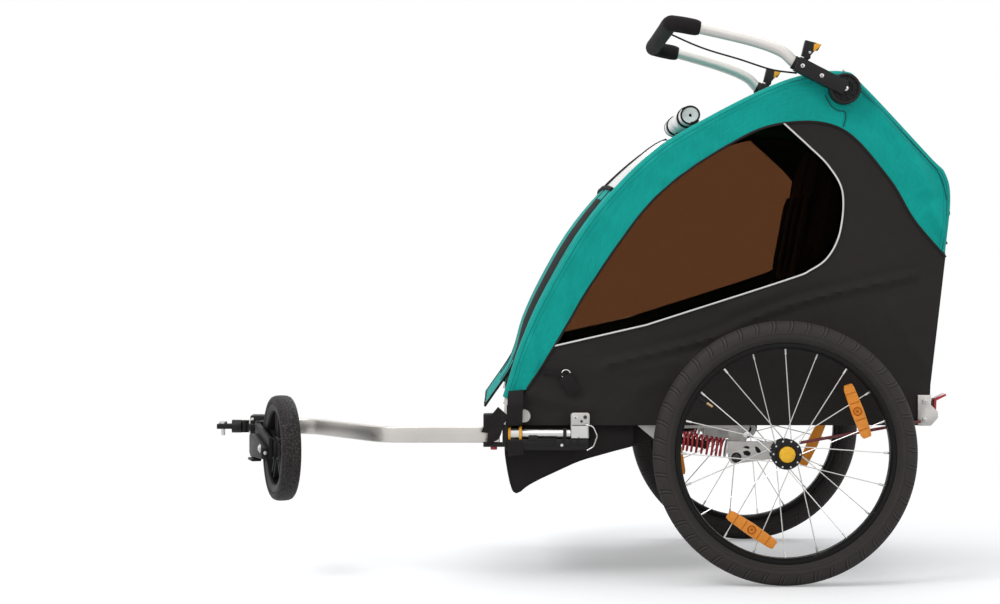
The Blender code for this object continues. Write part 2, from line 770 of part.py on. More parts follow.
harness_front = SEAT_BACK_THICKNESS / 2 + SEAT_CROWN + GAP
for word, side in SIDES.items():
    half = HARNESS_WIDTH / 2
    straps = [
        box((-HARNESS_BELOW, -half, 0), (HARNESS_ABOVE, -half + STRAP_WIDTH, STRAP_THICKNESS)),
        box((-HARNESS_BELOW, half - STRAP_WIDTH, 0), (HARNESS_ABOVE, half, STRAP_THICKNESS)),
        box(
            (CHEST_STRAP_LOW, STRAP_WIDTH / 5 - half, 0),
            (CHEST_STRAP_LOW + CHEST_STRAP_WIDTH, half - STRAP_WIDTH / 5, CHEST_STRAP_THICKNESS),
        ),
        box(
            (-HARNESS_BELOW - LAP_STRAP_BELOW, STRAP_WIDTH / 8 - half, 0),
            (STRAP_WIDTH - HARNESS_BELOW - LAP_STRAP_BELOW, half - STRAP_WIDTH / 8, LAP_STRAP_THICKNESS),
        ),
    ]
    harness = combine(straps[0], straps[1:])
    place(harness, back_place @ Matrix.Translation((0, side * SEAT_HALF_WIDTH / 2, harness_front)))
    finish(harness, f"harness_{word}", "webbing", uprights)


# Upright frame: a bent tube that stands on the rear lugs

frame_path = [
    (upright_pivot - upright_way * PIVOT_OVERHANG, -UPRIGHT_PLANE),
    (upright_top, -UPRIGHT_PLANE),
    (upright_top, UPRIGHT_PLANE),
    (upright_pivot - upright_way * PIVOT_OVERHANG, UPRIGHT_PLANE),
]
frame_path = rounded([(at.x, y, at.y) for at, y in frame_path], UPRIGHT_CORNER, 5)
frame = cut(
    tube(frame_path, UPRIGHT_RADIUS),
    cylinder(
        (upright_pivot.x, -BODY_HALF_WIDTH, upright_pivot.y),
        (upright_pivot.x, BODY_HALF_WIDTH, upright_pivot.y),
        PIVOT_PIN_RADIUS + PIN_GAP,
        12,
    ),
)
finish(frame, "upright_frame", "aluminium", uprights)


# Cage: two hoops that hinge on the front lugs, two crossbars, and the cover over them

hoop_end = REAR_CORNER * ARCH_STEPS
hoop_line = tube_line[: hoop_end + 1]
hoop_way = (hoop_line[1] - hoop_line[0]).normalized()
hoop_start = hoop_line[0] - hoop_way * PIVOT_OVERHANG
for word, side in SIDES.items():
    path = [(at.x, side * TUBE_PLANE, at.y) for at in [hoop_start, *hoop_line[1:]]]
    hoop = cut(
        tube(path, TUBE_RADIUS),
        cylinder(
            (cage_pivot.x, side * LUG_FACE, cage_pivot.y),
            (cage_pivot.x, side * BODY_HALF_WIDTH, cage_pivot.y),
            PIVOT_PIN_RADIUS + PIN_GAP,
            12,
        ),
    )
    finish(hoop, f"cage_hoop_{word}", "aluminium", cage)

for name, station in {"cage_crossbar_top": 6 * ARCH_STEPS, "cage_crossbar_rear": hoop_end - 1}.items():
    at = tube_line[station]
    reach = TUBE_INNER_FACE - GAP
    bar = cylinder((at.x, -reach, at.y), (at.x, reach, at.y), TUBE_RADIUS, 16)
    finish(bar, name, "aluminium", cage)

def past_ends(line, first, last):
    """A line whose two ends are drawn on, each by a length of its own."""
    before = line[0] + (line[0] - line[1]).normalized() * first
    after = line[-1] + (line[-1] - line[-2]).normalized() * last
    return [before, *line[1:-1], after]


block = side_plate(arch + seam[-2::-1], -BODY_HALF_WIDTH, BODY_HALF_WIDTH)
inner_half_width = BODY_HALF_WIDTH - CLOTH
inside = past_ends(inset(arch, CLOTH), CUT_MARGIN, 2 * CUT_MARGIN)
mouth_line = past_ends(arch[: roll_station + 1], 2 * CUT_MARGIN, 0.0)
mouth = inset(mouth_line, -CUT_MARGIN) + inset(mouth_line, CUT_MARGIN)[::-1]
holes = [
    cylinder(
        (hub_centre.x, side * (TUBE_OUTER_FACE - CUT_MARGIN / 4), hub_centre.y),
        (hub_centre.x, side * (BODY_HALF_WIDTH + CUT_MARGIN / 4), hub_centre.y),
        HUB_HOLE_RADIUS,
        20,
    )
    for side in SIDES.values()
]
canopy = cut(
    block,
    side_plate(inside, -inner_half_width, inner_half_width),
    side_plate(mouth, -FRONT_COVER_HALF_WIDTH, FRONT_COVER_HALF_WIDTH),
    *holes,
)
finish(canopy, "canopy", "teal_cloth", cage)

HUB_PLATE_FACE = BODY_HALF_WIDTH + GAP + HUB_PLATE_THICKNESS
for word, side in SIDES.items():
    plate = cylinder(
        (hub_centre.x, side * (BODY_HALF_WIDTH + GAP), hub_centre.y),
        (hub_centre.x, side * HUB_PLATE_FACE, hub_centre.y),
        HUB_DISC_RADIUS,
        24,
    )
    boss = cylinder(
        (hub_centre.x, side * (TUBE_OUTER_FACE + GAP), hub_centre.y),
        (hub_centre.x, side * HUB_PLATE_FACE, hub_centre.y),
        HUB_HOLE_RADIUS - HUB_HOLE_CLEARANCE,
        20,
    )
    finish(combine(plate, [boss]), f"handle_hub_{word}", "black_plastic", cage)


# Side panels and windows: one flat layer with the cover's side bands

window_seam = seam[WINDOW_FIRST * ARCH_STEPS : WINDOW_LAST * ARCH_STEPS + 1]
for word, side in SIDES.items():
    window_outline = window_seam + piping
    panel_outline = (
        [body_front_bottom]
        + seam[: WINDOW_FIRST * ARCH_STEPS + 1]
        + piping[::-1]
        + seam[WINDOW_LAST * ARCH_STEPS :]
        + [body_rear_knee, body_rear_bottom]
    )
    faces = (side * (BODY_HALF_WIDTH - CLOTH), side * BODY_HALF_WIDTH)
    window = side_plate(inset(window_outline, GAP, closed=True), *faces)
    panel = side_plate(inset(panel_outline, GAP, closed=True), *faces)
    finish(window, f"side_window_{word}", "tinted_film", base)
    finish(panel, f"side_panel_{word}", "black_cloth", base)

rear_line = [arch[-1] + Vector((0, -GAP)), body_rear_knee, body_rear_bottom]
rear_half_width = BODY_HALF_WIDTH - CLOTH - GAP
rear = side_plate(rear_line + inset(rear_line, CLOTH)[::-1], -rear_half_width, rear_half_width)
finish(rear, "rear_panel", "black_cloth", base)


# Front cover, hung from its top edge, and the rain cover rolled up above it

cover_top = arch[roll_station]
cover_hinge = pivot("front_cover_hinge", (cover_top.x, 0, cover_top.y), cage)
tip = arch[0] + Vector((-COVER_TIP_REACH, -COVER_TIP_DROP))
cover_line = [tip, *arch[1 : roll_station + 1]]
cover_line[-1] = cover_line[-1] - (cover_line[-1] - cover_line[-2]).normalized() * 2 * GAP
cover_half_width = FRONT_COVER_HALF_WIDTH - GAP
cover = side_plate(cover_line + inset(cover_line, CLOTH)[::-1], -cover_half_width, cover_half_width)
finish(cover, "front_cover", "teal_cloth", cover_hinge)

along = (arch[roll_station + 1] - cover_top).normalized()
up = Vector((-along.y, along.x))
roll_at = cover_top + along * ROLL_BEHIND_COVER + up * (ROLL_RADIUS + GAP)
ends = [Vector((roll_at.x, side * ROLL_HALF_LENGTH, roll_at.y)) for side in SIDES.values()]
finish(cylinder(*ends, ROLL_RADIUS, 20), "rolled_rain_cover", "clear_film", cage)


# Handlebar: arms on the hubs, a bent tube in the arms, a foam grip round its end, a wrist strap

handlebar = pivot("handlebar_pivot", (hub_centre.x, 0, hub_centre.y), cage)
ARM_FACE = HUB_PLATE_FACE + GAP
arm_plane = ARM_FACE + HANDLE_ARM_THICKNESS / 2
arm_way = Vector((-math.cos(HANDLE_ARM_PITCH), math.sin(HANDLE_ARM_PITCH)))
arm_side = Vector((arm_way.y, -arm_way.x))
arm_tip = hub_centre + arm_way * HANDLE_ARM_REACH
grip_corner = hub_centre + Vector((-HANDLE_REACH, HANDLE_RISE))
socket_foot = arm_tip - arm_way * HANDLE_SOCKET_DEPTH


def handle_half(side):
    """One side of the handlebar's path, from its socket to its corner."""
    leaves = arm_tip + arm_way * 10 * GAP
    leg = Vector((grip_corner.x + GRIP_LEG, grip_corner.y - GRIP_LEG_DROP))
    path = [in_side(socket_foot, side * arm_plane), in_side(leaves, side * arm_plane)]
    for ahead, rise in [(0.026, 0.023), (0.053, 0.036), (0.081, 0.045)]:
        plane = arm_plane + (HANDLE_HALF_WIDTH - arm_plane) * ahead / (leaves.x - leg.x)
        path.append((leaves.x - ahead, side * plane, leaves.y + rise))
    path.append(in_side(leg, side * HANDLE_HALF_WIDTH))
    path.append((grip_corner.x, side * HANDLE_HALF_WIDTH, grip_corner.y))
    return path


near_half = handle_half(-1)
far_half = handle_half(1)[::-1]
grip_path = rounded(near_half[-2:] + far_half[:2], HANDLE_CORNER, 4)
handle_path = near_half[:-2] + grip_path + far_half[2:]
finish(tube(handle_path, HANDLE_TUBE_RADIUS), "handlebar_tube", "aluminium", handlebar)

grip = cut(
    tube(grip_path, GRIP_RADIUS),
    tube(handle_path, HANDLE_TUBE_RADIUS + GAP),
)
finish(grip, "handlebar_grip", "foam", handlebar)

RELEASE_TAB = [(-0.344, 0.094), (-0.125, 1.0), (0.563, 0.8125), (0.4375, 0.375), (0.125, 0.0), (-0.125, 0.0)]
RELEASE_TRIGGER = [(0.4375, 0.75), (0.844, 0.75), (0.625, 0.375), (0.375, 0.406)]
for word, side in SIDES.items():
    disc = cylinder(
        (hub_centre.x, side * ARM_FACE, hub_centre.y),
        (hub_centre.x, side * (ARM_FACE + HANDLE_DISC_THICKNESS), hub_centre.y),
        HUB_DISC_RADIUS,
        24,
    )
    half = HANDLE_ARM_WIDTH / 2
    outline = [
        hub_centre + arm_side * half,
        hub_centre - arm_side * half,
        arm_tip - arm_side * half,
        arm_tip + arm_side * half,
    ]
    casing = side_plate(outline, side * ARM_FACE, side * (ARM_FACE + HANDLE_ARM_THICKNESS))
    arm = combine(disc, [casing])
    socket = cylinder(
        in_side(socket_foot - arm_way * CUT_MARGIN / 10, side * arm_plane),
        in_side(arm_tip + arm_way * CUT_MARGIN, side * arm_plane),
        HANDLE_TUBE_RADIUS + GAP,
        24,
    )
    finish(cut(arm, socket), f"handlebar_arm_{word}", "black_plastic", handlebar)

    knuckle = hub_centre + arm_way * RELEASE_ALONG_ARM + arm_side * (half + RELEASE_KNUCKLE_RADIUS + GAP)
    lever = pivot(f"handle_release_pivot_{word}", (knuckle.x, side * arm_plane, knuckle.y), handlebar)
    inner, outer = ARM_FACE + RELEASE_SIDE_INSET, ARM_FACE + RELEASE_SIDE_INSET + RELEASE_WIDTH
    low, high = side * inner, side * outer
    barrel = cylinder(
        (knuckle.x, low, knuckle.y), (knuckle.x, high, knuckle.y), RELEASE_KNUCKLE_RADIUS, 16
    )
    tab = [knuckle + Vector(share) * RELEASE_HEIGHT for share in RELEASE_TAB]
    trigger = [knuckle + Vector(share) * RELEASE_HEIGHT for share in RELEASE_TRIGGER]
    tab = side_plate(tab, low, high)
    trigger = side_plate(
        trigger, side * (inner + RELEASE_TRIGGER_INSET), side * (outer - RELEASE_TRIGGER_INSET)
    )
    finish(combine(barrel, [tab, trigger]), f"handle_release_{word}", "black_plastic", lever)

strap_start = Vector(
    (grip_corner.x + GRIP_RADIUS / 4, -STRAP_FROM_MIDDLE, grip_corner.y - GRIP_RADIUS - STRAP_RADIUS - GAP)
)
strap_beside = HANDLE_ARM_WIDTH / 2 + STRAP_RADIUS + GAP
strap_end = arm_tip - arm_way * HANDLE_SOCKET_DEPTH / 4 - arm_side * strap_beside
strap_run = Vector((strap_end.x, -arm_plane, strap_end.y)) - strap_start
STRAP_ROUTE = [strap_start]
for share, sag in [(0.18, 0.75), (0.33, 1.0), (0.55, 0.9), (0.80, 1.0)]:
    STRAP_ROUTE.append(strap_start + strap_run * share - Vector((0, 0, sag * STRAP_SAG)))
STRAP_ROUTE.append(strap_start + strap_run)
finish(tube(smooth(STRAP_ROUTE, 7), STRAP_RADIUS, 2), "wrist_strap", "webbing", handlebar)


# Places on each side that the wheels and the suspension share

arm_pivot = Vector((-ARM_PIVOT_AHEAD, AXLE_HEIGHT - ARM_PIVOT_DROP))
spring_front = Vector(SPRING_FRONT)
spring_rear = Vector(SPRING_REAR)
spring_way = (spring_rear - spring_front).normalized()
bracket_outer = TUBE_INNER_FACE - GAP
bracket_inner = bracket_outer - BRACKET_THICKNESS
spring_plane = bracket_outer + SPRING_RADIUS + SPRING_WIRE_RADIUS + GAP
boss_inner = bracket_outer + ARM_SIDE_CLEARANCE
boss_outer = boss_inner + ARM_BOSS_LENGTH
web_outer = spring_plane + ARM_WEB_THICKNESS / 2
hub_inner_reach = HUB_FLANGE_OFFSET + HUB_NOSE_SHARE * (WHEEL_PLANE - HUB_FLANGE_OFFSET - web_outer)
axle_boss_outer = WHEEL_PLANE - hub_inner_reach - GAP


# Wheels: rim, hub and leaning spokes in one piece, a tyre over the rim, a button in the hub


def wheel_mesh():
    """A wheel about the Z axis, its outer side up."""
    half = RIM_WIDTH / 2
    rim = turned(
        [
            (BEAD_RADIUS, half),
            (BEAD_RADIUS - RIM_LIP, 0),
            (BEAD_RADIUS, -half),
            (RIM_INNER_RADIUS + RIM_LIP, -half),
            (RIM_INNER_RADIUS, 0),
            (RIM_INNER_RADIUS + RIM_LIP, half),
        ],
        (0, 0, 0),
        (0, 0, 1),
        WHEEL_FACETS,
        ring=True,
    )
    flange_half = HUB_FLANGE_THICKNESS / 2
    hub = turned(
        [
            (0, HUB_OUTER_REACH - BUTTON_DEPTH),
            (BUTTON_RADIUS + GAP, HUB_OUTER_REACH - BUTTON_DEPTH),
            (BUTTON_RADIUS + GAP, HUB_OUTER_REACH),
            (HUB_FLANGE_RADIUS, HUB_FLANGE_OFFSET + flange_half),
            (HUB_FLANGE_RADIUS, HUB_FLANGE_OFFSET - flange_half),
            (HUB_BARREL_RADIUS, HUB_FLANGE_OFFSET - HUB_FLANGE_SLOPE),
            (HUB_BARREL_RADIUS, -HUB_FLANGE_OFFSET + HUB_FLANGE_SLOPE),
            (HUB_FLANGE_RADIUS, -HUB_FLANGE_OFFSET + flange_half),
            (HUB_FLANGE_RADIUS, -HUB_FLANGE_OFFSET - flange_half),
            (AXLE_PIN_RADIUS + HUB_NOSE_WALL, -hub_inner_reach),
            (AXLE_PIN_RADIUS, -hub_inner_reach),
            (AXLE_PIN_RADIUS, -hub_inner_reach - AXLE_PIN_LENGTH),
            (0, -hub_inner_reach - AXLE_PIN_LENGTH),
        ],
        (0, 0, 0),
        (0, 0, 1),
        16,
    )
    spokes = []
    for i in range(SPOKE_COUNT):
        turn = 2 * math.pi * i / SPOKE_COUNT
        flange = 1 if i % 2 == 0 else -1
        lean_turn = turn + flange * SPOKE_LEAN
        reach = RIM_INNER_RADIUS + 1.5 * RIM_LIP
        root = HUB_FLANGE_RADIUS - 4 * SPOKE_RADIUS
        end = (reach * math.cos(turn), reach * math.sin(turn), 0)
        start = (root * math.cos(lean_turn), root * math.sin(lean_turn), flange * HUB_FLANGE_OFFSET)
        spokes.append(cylinder(start, end, SPOKE_RADIUS, 4))
    return combine(hub, [rim, *spokes])


def tyre_mesh():
    """A tyre about the Z axis, seated on the rim's bead."""
    half = TYRE_WIDTH / 2
    bead = BEAD_RADIUS + GAP
    height = TYRE_RADIUS - bead
    arc = []
    for i in range(7):
        turn = math.pi * (0.5 - i / 6)
        reach = bead + height * (0.42 + 0.58 * math.cos(turn))
        arc.append((reach, half * math.sin(turn)))
    seat = RIM_WIDTH / 2
    profile = [(bead, seat), *arc, (bead, -seat)]
    return turned(profile, (0, 0, 0), (0, 0, 1), WHEEL_FACETS, ring=True)


arms = {}
wheel_carriers = {}
for word, side in SIDES.items():
    arms[word] = pivot(f"swing_arm_pivot_{word}", (arm_pivot.x, side * WHEEL_PLANE, arm_pivot.y), base)
    centre = (0, side * WHEEL_PLANE, AXLE_HEIGHT)
    wheel_carriers[word] = pivot(f"wheel_axis_{word}", centre, arms[word])
    outward = Matrix.Translation(centre) @ Matrix.Rotation(-side * math.pi / 2, 4, "X")
    finish(place(wheel_mesh(), outward), f"wheel_{word}", "black_paint", wheel_carriers[word])
    finish(place(tyre_mesh(), outward), f"tyre_{word}", "rubber", wheel_carriers[word])
    face = WHEEL_PLANE + HUB_OUTER_REACH
    button_axis = pivot(f"wheel_button_axis_{word}", (0, side * face, AXLE_HEIGHT), wheel_carriers[word])
    button = cylinder(
        (0, side * (face - BUTTON_DEPTH + BUTTON_STAND + GAP), AXLE_HEIGHT),
        (0, side * (face + BUTTON_STAND), AXLE_HEIGHT),
        BUTTON_RADIUS,
        24,
    )
    finish(button, f"wheel_button_{word}", "yellow_plastic", button_axis)


# Suspension: a bracket under each rail, a swing arm on its pin, a coil spring between their seats

for word, side in SIDES.items():
    plate = side_plate(
        [
            Vector((spring_front.x - BRACKET_SIZE, BODY_BOTTOM)),
            Vector((spring_front.x - 0.71 * BRACKET_SIZE, RAIL_HEIGHT)),
            Vector((arm_pivot.x + 0.29 * BRACKET_SIZE, RAIL_HEIGHT)),
            Vector((arm_pivot.x + 0.36 * BRACKET_SIZE, BODY_BOTTOM)),
            arm_pivot + Vector((1.08, -0.46)) * ARM_BOSS_RADIUS,
            arm_pivot + Vector((0.46, -1.08)) * ARM_BOSS_RADIUS,
            arm_pivot + Vector((-0.46, -1.08)) * ARM_BOSS_RADIUS,
            arm_pivot + Vector((-0.92, -0.31)) * ARM_BOSS_RADIUS,
            Vector((arm_pivot.x - 0.92 * ARM_BOSS_RADIUS, BODY_BOTTOM - BRACKET_LIP)),
            Vector((spring_front.x, BODY_BOTTOM - BRACKET_LIP)),
            spring_front + Vector((-0.11, -1.06)) * SPRING_SEAT_RADIUS,
            spring_front + Vector((-0.56, -1.06)) * SPRING_SEAT_RADIUS,
            Vector((spring_front.x - 0.55 * BRACKET_SIZE, spring_front.y - 0.026 * BRACKET_SIZE)),
        ],
        side * bracket_inner,
        side * bracket_outer,
    )
    seat = cylinder(
        in_side(spring_front - spring_way * (SPRING_SEAT_THICKNESS + GAP), side * spring_plane),
        in_side(spring_front - spring_way * GAP, side * spring_plane),
        SPRING_SEAT_RADIUS,
        20,
    )
    stub_at = spring_front - spring_way * (SPRING_SEAT_THICKNESS + GAP + SPRING_STUB_BEHIND)
    into_bracket = bracket_inner + BRACKET_THICKNESS / 5
    stub = cylinder(
        in_side(stub_at, side * into_bracket),
        in_side(stub_at, side * web_outer),
        SPRING_STUB_RADIUS,
        16,
    )
    pin = cylinder(
        in_side(arm_pivot, side * into_bracket),
        in_side(arm_pivot, side * (boss_outer + ARM_HEAD_THICKNESS)),
        ARM_PIN_RADIUS,
        16,
    )
    head_inner = boss_outer + ARM_SIDE_CLEARANCE
    head = cylinder(
        in_side(arm_pivot, side * head_inner),
        in_side(arm_pivot, side * (head_inner + ARM_HEAD_THICKNESS)),
        ARM_HEAD_RADIUS,
        6,
    )
    finish(combine(plate, [seat, stub, pin, head]), f"suspension_bracket_{word}", "cast_silver", base)

    axle = Vector((0, AXLE_HEIGHT))
    pivot_boss = cylinder(
        in_side(arm_pivot, side * boss_inner), in_side(arm_pivot, side * boss_outer), ARM_BOSS_RADIUS, 16
    )
    axle_boss = cylinder(
        in_side(axle, side * boss_inner), in_side(axle, side * axle_boss_outer), AXLE_BOSS_RADIUS, 16
    )
    web = side_plate(
        [
            axle + Vector((0.12, 0.94)) * AXLE_BOSS_RADIUS,
            axle + Vector((0.12, -0.94)) * AXLE_BOSS_RADIUS,
            arm_pivot + Vector((0.15, -0.92)) * ARM_BOSS_RADIUS,
            arm_pivot + Vector((-0.77, 0.0)) * ARM_BOSS_RADIUS,
            spring_rear + Vector((0.11, -0.36)) * SPRING_SEAT_RADIUS,
            spring_rear + Vector((0.17, 0.76)) * SPRING_SEAT_RADIUS,
            arm_pivot + Vector((2.3, 2.3)) * ARM_BOSS_RADIUS,
        ],
        side * (spring_plane - ARM_WEB_THICKNESS / 2),
        side * web_outer,
    )
    rear_seat = cylinder(
        in_side(spring_rear + spring_way * GAP, side * spring_plane),
        in_side(spring_rear + spring_way * (SPRING_SEAT_THICKNESS + GAP), side * spring_plane),
        SPRING_SEAT_RADIUS,
        20,
    )
    arm = combine(web, [pivot_boss, axle_boss, rear_seat])
    arm = cut(
        arm,
        cylinder(
            in_side(arm_pivot, side * (boss_inner - CUT_MARGIN)),
            in_side(arm_pivot, side * (boss_outer + CUT_MARGIN)),
            ARM_PIN_RADIUS + PIN_GAP,
            16,
        ),
        cylinder(
            in_side(axle, side * (boss_inner - CUT_MARGIN)),
            in_side(axle, side * (axle_boss_outer + CUT_MARGIN)),
            AXLE_PIN_RADIUS + PIN_GAP,
            16,
        ),
    )
    finish(arm, f"swing_arm_{word}", "cast_silver", arms[word])

    steps = 8
    closed_turns = 0.75
    closed_pitch = 0.55
    run = (spring_rear - spring_front).length - 2 * SPRING_WIRE_RADIUS
    pitch = run / (SPRING_COILS + 2 * closed_turns * closed_pitch)
    forward = Vector((spring_way.x, 0, spring_way.y))
    across = Vector((0, 1, 0))
    upward = forward.cross(across)
    begin = Vector(in_side(spring_front, side * spring_plane)) + forward * SPRING_WIRE_RADIUS
    coil = []
    for i in range(int((SPRING_COILS + 2 * closed_turns) * steps) + 1):
        turns = i / steps
        open_turns = min(max(turns - closed_turns, 0), SPRING_COILS)
        travel = pitch * (open_turns + closed_pitch * (turns - open_turns))
        angle = 2 * math.pi * turns
        out = across * math.cos(angle) + upward * math.sin(angle)
        along_turn = upward * math.cos(angle) - across * math.sin(angle)
        coil.append(begin + forward * travel + out * SPRING_RADIUS)
        if i == 0:
            coil.insert(0, coil[0] - along_turn * 2 * SPRING_WIRE_RADIUS)
    coil.append(coil[-1] + along_turn * 2 * SPRING_WIRE_RADIUS)
    finish(tube(coil, SPRING_WIRE_RADIUS, 1), f"coil_spring_{word}", "red_paint", base)
    apart = min(
        (coil[i] - coil[j]).length
        for i in range(len(coil))
        for j in range(i + steps // 2, len(coil))
    )
    print(f"coil_spring_{word}: least gap to itself {1000 * (apart - 2 * SPRING_WIRE_RADIUS):.2f} mm")


# Rear corner brackets, the parking brake lever on the left one, and the brake rod

bracket_face = BODY_HALF_WIDTH + GAP
plate_outer = bracket_face + REAR_BRACKET_THICKNESS
corner = Vector((REAR_EDGE_FROM_AXLE - REAR_BRACKET_FROM_REAR, RAIL_HEIGHT - REAR_BRACKET_DROP))
lever_pivot = Vector((REAR_EDGE_FROM_AXLE + BRAKE_PIVOT_BEHIND, RAIL_HEIGHT + BRAKE_PIVOT_RISE))
for word, side in SIDES.items():
    plate = side_plate(
        [
            corner,
            corner + Vector((REAR_BRACKET_WIDTH, 0)),
            lever_pivot + Vector((2, -2)) * BRAKE_PIN_RADIUS,
            lever_pivot + Vector((2, 2)) * BRAKE_PIN_RADIUS,
            corner + Vector((REAR_BRACKET_WIDTH, 0.68 * REAR_BRACKET_HEIGHT)),
            corner + Vector((REAR_BRACKET_WIDTH, REAR_BRACKET_HEIGHT)),
            corner + Vector((0, REAR_BRACKET_HEIGHT)),
        ],
        side * bracket_face,
        side * plate_outer,
    )
    into_plate = bracket_face + REAR_BRACKET_THICKNESS / 3
    bolts = []
    for share in (0.2, 0.8):
        bolt_at = corner + Vector((REAR_BRACKET_WIDTH / 2, share * REAR_BRACKET_HEIGHT))
        tip_at = in_side(bolt_at, side * (plate_outer + BOLT_HEAD))
        bolts.append(cylinder(in_side(bolt_at, side * into_plate), tip_at, BOLT_RADIUS, 12))
    lever_pin = cylinder(
        in_side(lever_pivot, side * into_plate),
        in_side(lever_pivot, side * (bracket_face - BRAKE_PIN_LENGTH)),
        BRAKE_PIN_RADIUS,
        12,
    )
    finish(combine(plate, [*bolts, lever_pin]), f"rear_bracket_{word}", "cast_silver", base)

brake = pivot("brake_lever_pivot", (lever_pivot.x, -TUBE_PLANE, lever_pivot.y), base)
lever_high = -(BODY_HALF_WIDTH - CLOTH - GAP)
lever_low = lever_high + BRAKE_LEVER_WIDTH
lever_boss = cylinder(
    in_side(lever_pivot, lever_low), in_side(lever_pivot, lever_high), BRAKE_BOSS_RADIUS, 16
)
PEDAL = [(-0.0875, 0.0), (0.0125, 0.75), (0.55, 1.0), (0.5875, 0.9125), (0.1125, 0.675), (0.0875, 0.0)]
pedal = side_plate(
    [lever_pivot + Vector(share) * BRAKE_LEVER_HEIGHT for share in PEDAL], lever_low, lever_high
)
lever_bore = cylinder(
    in_side(lever_pivot, lever_low + CUT_MARGIN),
    in_side(lever_pivot, lever_high - CUT_MARGIN),
    BRAKE_PIN_RADIUS + PIN_GAP,
    12,
)
finish(cut(combine(lever_boss, [pedal]), lever_bore), "brake_lever", "red_paint", brake)

rod_plane = -(plate_outer + GAP + ROD_RADIUS)
rod_rear = corner + Vector((ROD_AHEAD_OF_CORNER, ROD_ABOVE_CORNER))
rod_front = Vector((AXLE_BOSS_RADIUS + ROD_BEHIND_AXLE, AXLE_HEIGHT + ROD_ABOVE_AXLE))
rod = pivot("brake_rod_axis", in_side(rod_rear, rod_plane), base)
rod_solid = cylinder(in_side(rod_front, rod_plane), in_side(rod_rear, rod_plane), ROD_RADIUS, 12)
finish(rod_solid, "brake_rod", "red_paint", rod)


# Tow bar receiver on the left: a fork with a vertical pin, a slotted housing, a round tube and clamp

cheek_top = RAIL_HEIGHT + CHEEK_ABOVE_RAIL
bar_low = TOW_BAR_CENTRE - TOW_BAR_HEIGHT / 2
bar_high = TOW_BAR_CENTRE + TOW_BAR_HEIGHT / 2
receiver_low = TOW_PLANE - RECEIVER_WIDTH / 2
receiver_high = TOW_PLANE + RECEIVER_WIDTH / 2
fork_front = TOW_PIN_X - RECEIVER_FORK_REACH
web_front = TOW_PIN_X + RECEIVER_WEB_BEHIND
web_rear = web_front + RECEIVER_WEB_THICKNESS
cheek_rear = web_front + 0.6 * RECEIVER_WEB_THICKNESS
cheek_bottom = bar_low - GAP - CHEEK_THICKNESS
upper_cheek = box(
    (fork_front, receiver_low, bar_high + GAP), (cheek_rear, receiver_high, cheek_top), EDGE_ROUNDING
)
lower_cheek = box((fork_front, receiver_low, cheek_bottom), (cheek_rear, receiver_high, bar_low - GAP))
web = box((web_front, receiver_low, cheek_bottom), (web_rear, receiver_high, cheek_top))
tube_height = TOW_BAR_CENTRE + RECEIVER_TUBE_LIFT
housing_top = tube_height - RECEIVER_TUBE_RADIUS - GAP
housing = box(
    (
        web_front + 0.4 * RECEIVER_WEB_THICKNESS,
        receiver_low + 0.5 * EDGE_ROUNDING,
        cheek_bottom - HOUSING_BELOW_CHEEK,
    ),
    (web_front + RECEIVER_LENGTH, receiver_high, housing_top),
    EDGE_ROUNDING,
)
pin = cylinder(
    (TOW_PIN_X, TOW_PLANE, bar_low - CHEEK_THICKNESS / 7),
    (TOW_PIN_X, TOW_PLANE, bar_high + CHEEK_THICKNESS / 2),
    TOW_PIN_RADIUS,
    16,
)
recess = cylinder(
    (TOW_PIN_X, TOW_PLANE, cheek_bottom - CUT_MARGIN),
    (TOW_PIN_X, TOW_PLANE, cheek_bottom + BUTTON_RECESS),
    BUTTON_BORE,
    16,
)
receiver = cut(combine(upper_cheek, [web, lower_cheek, housing, pin]), recess)
finish(receiver, "tow_receiver", "black_plastic", base)

tow_button = pivot("tow_pin_button_axis", (TOW_PIN_X, TOW_PLANE, cheek_bottom), base)
button = cylinder(
    (TOW_PIN_X, TOW_PLANE, cheek_bottom - BUTTON_BELOW),
    (TOW_PIN_X, TOW_PLANE, cheek_bottom + BUTTON_ABOVE),
    BUTTON_BORE - BUTTON_CLEARANCE,
    16,
)
finish(button, "tow_pin_button", "red_paint", tow_button)

clamp_rear = web_front + RECEIVER_LENGTH
clamp_front = clamp_rear - CLAMP_LENGTH
clamp = box(
    (clamp_front, receiver_low + 0.75 * EDGE_ROUNDING, housing_top + GAP),
    (clamp_rear, receiver_high, cheek_top),
    EDGE_ROUNDING,
)
short_tube = cylinder(
    (web_rear + EDGE_ROUNDING, TOW_PLANE, tube_height),
    (clamp_front + CLAMP_LENGTH / 3, TOW_PLANE, tube_height),
    RECEIVER_TUBE_RADIUS,
    20,
)
bail_at = Vector((clamp_rear - BAIL_FROM_CLAMP_REAR, cheek_top - BAIL_BELOW_CHEEK))
bail_plane = receiver_low - 2 * BAIL_WIRE_RADIUS
bail_end = TOW_PLANE - RECEIVER_WIDTH / 5
bail_bore = cylinder(
    in_side(bail_at, receiver_low - CUT_MARGIN),
    in_side(bail_at, bail_end + BAIL_WIRE_RADIUS),
    BAIL_WIRE_RADIUS + PIN_GAP,
    12,
)
finish(cut(combine(clamp, [short_tube]), bail_bore), "receiver_clamp", "cast_silver", base)

bail = pivot("retaining_bail_pivot", in_side(bail_at, bail_plane), base)
BAIL = [(0, 0), (0.32, -0.08), (0.48, -0.44), (0.34, -0.84), (0.08, -1.0)]
bail_loop = [in_side(bail_at + Vector(share) * BAIL_DROP, bail_plane) for share in BAIL]
bail_path = [in_side(bail_at, bail_end), *rounded(bail_loop, BAIL_DROP / 6, 2)]
finish(tube(bail_path, BAIL_WIRE_RADIUS, 1), "retaining_bail", "steel", bail)


# Tow bar: a rectangular bar that bends inward, a flexible hitch at its tip and the hitch's pin

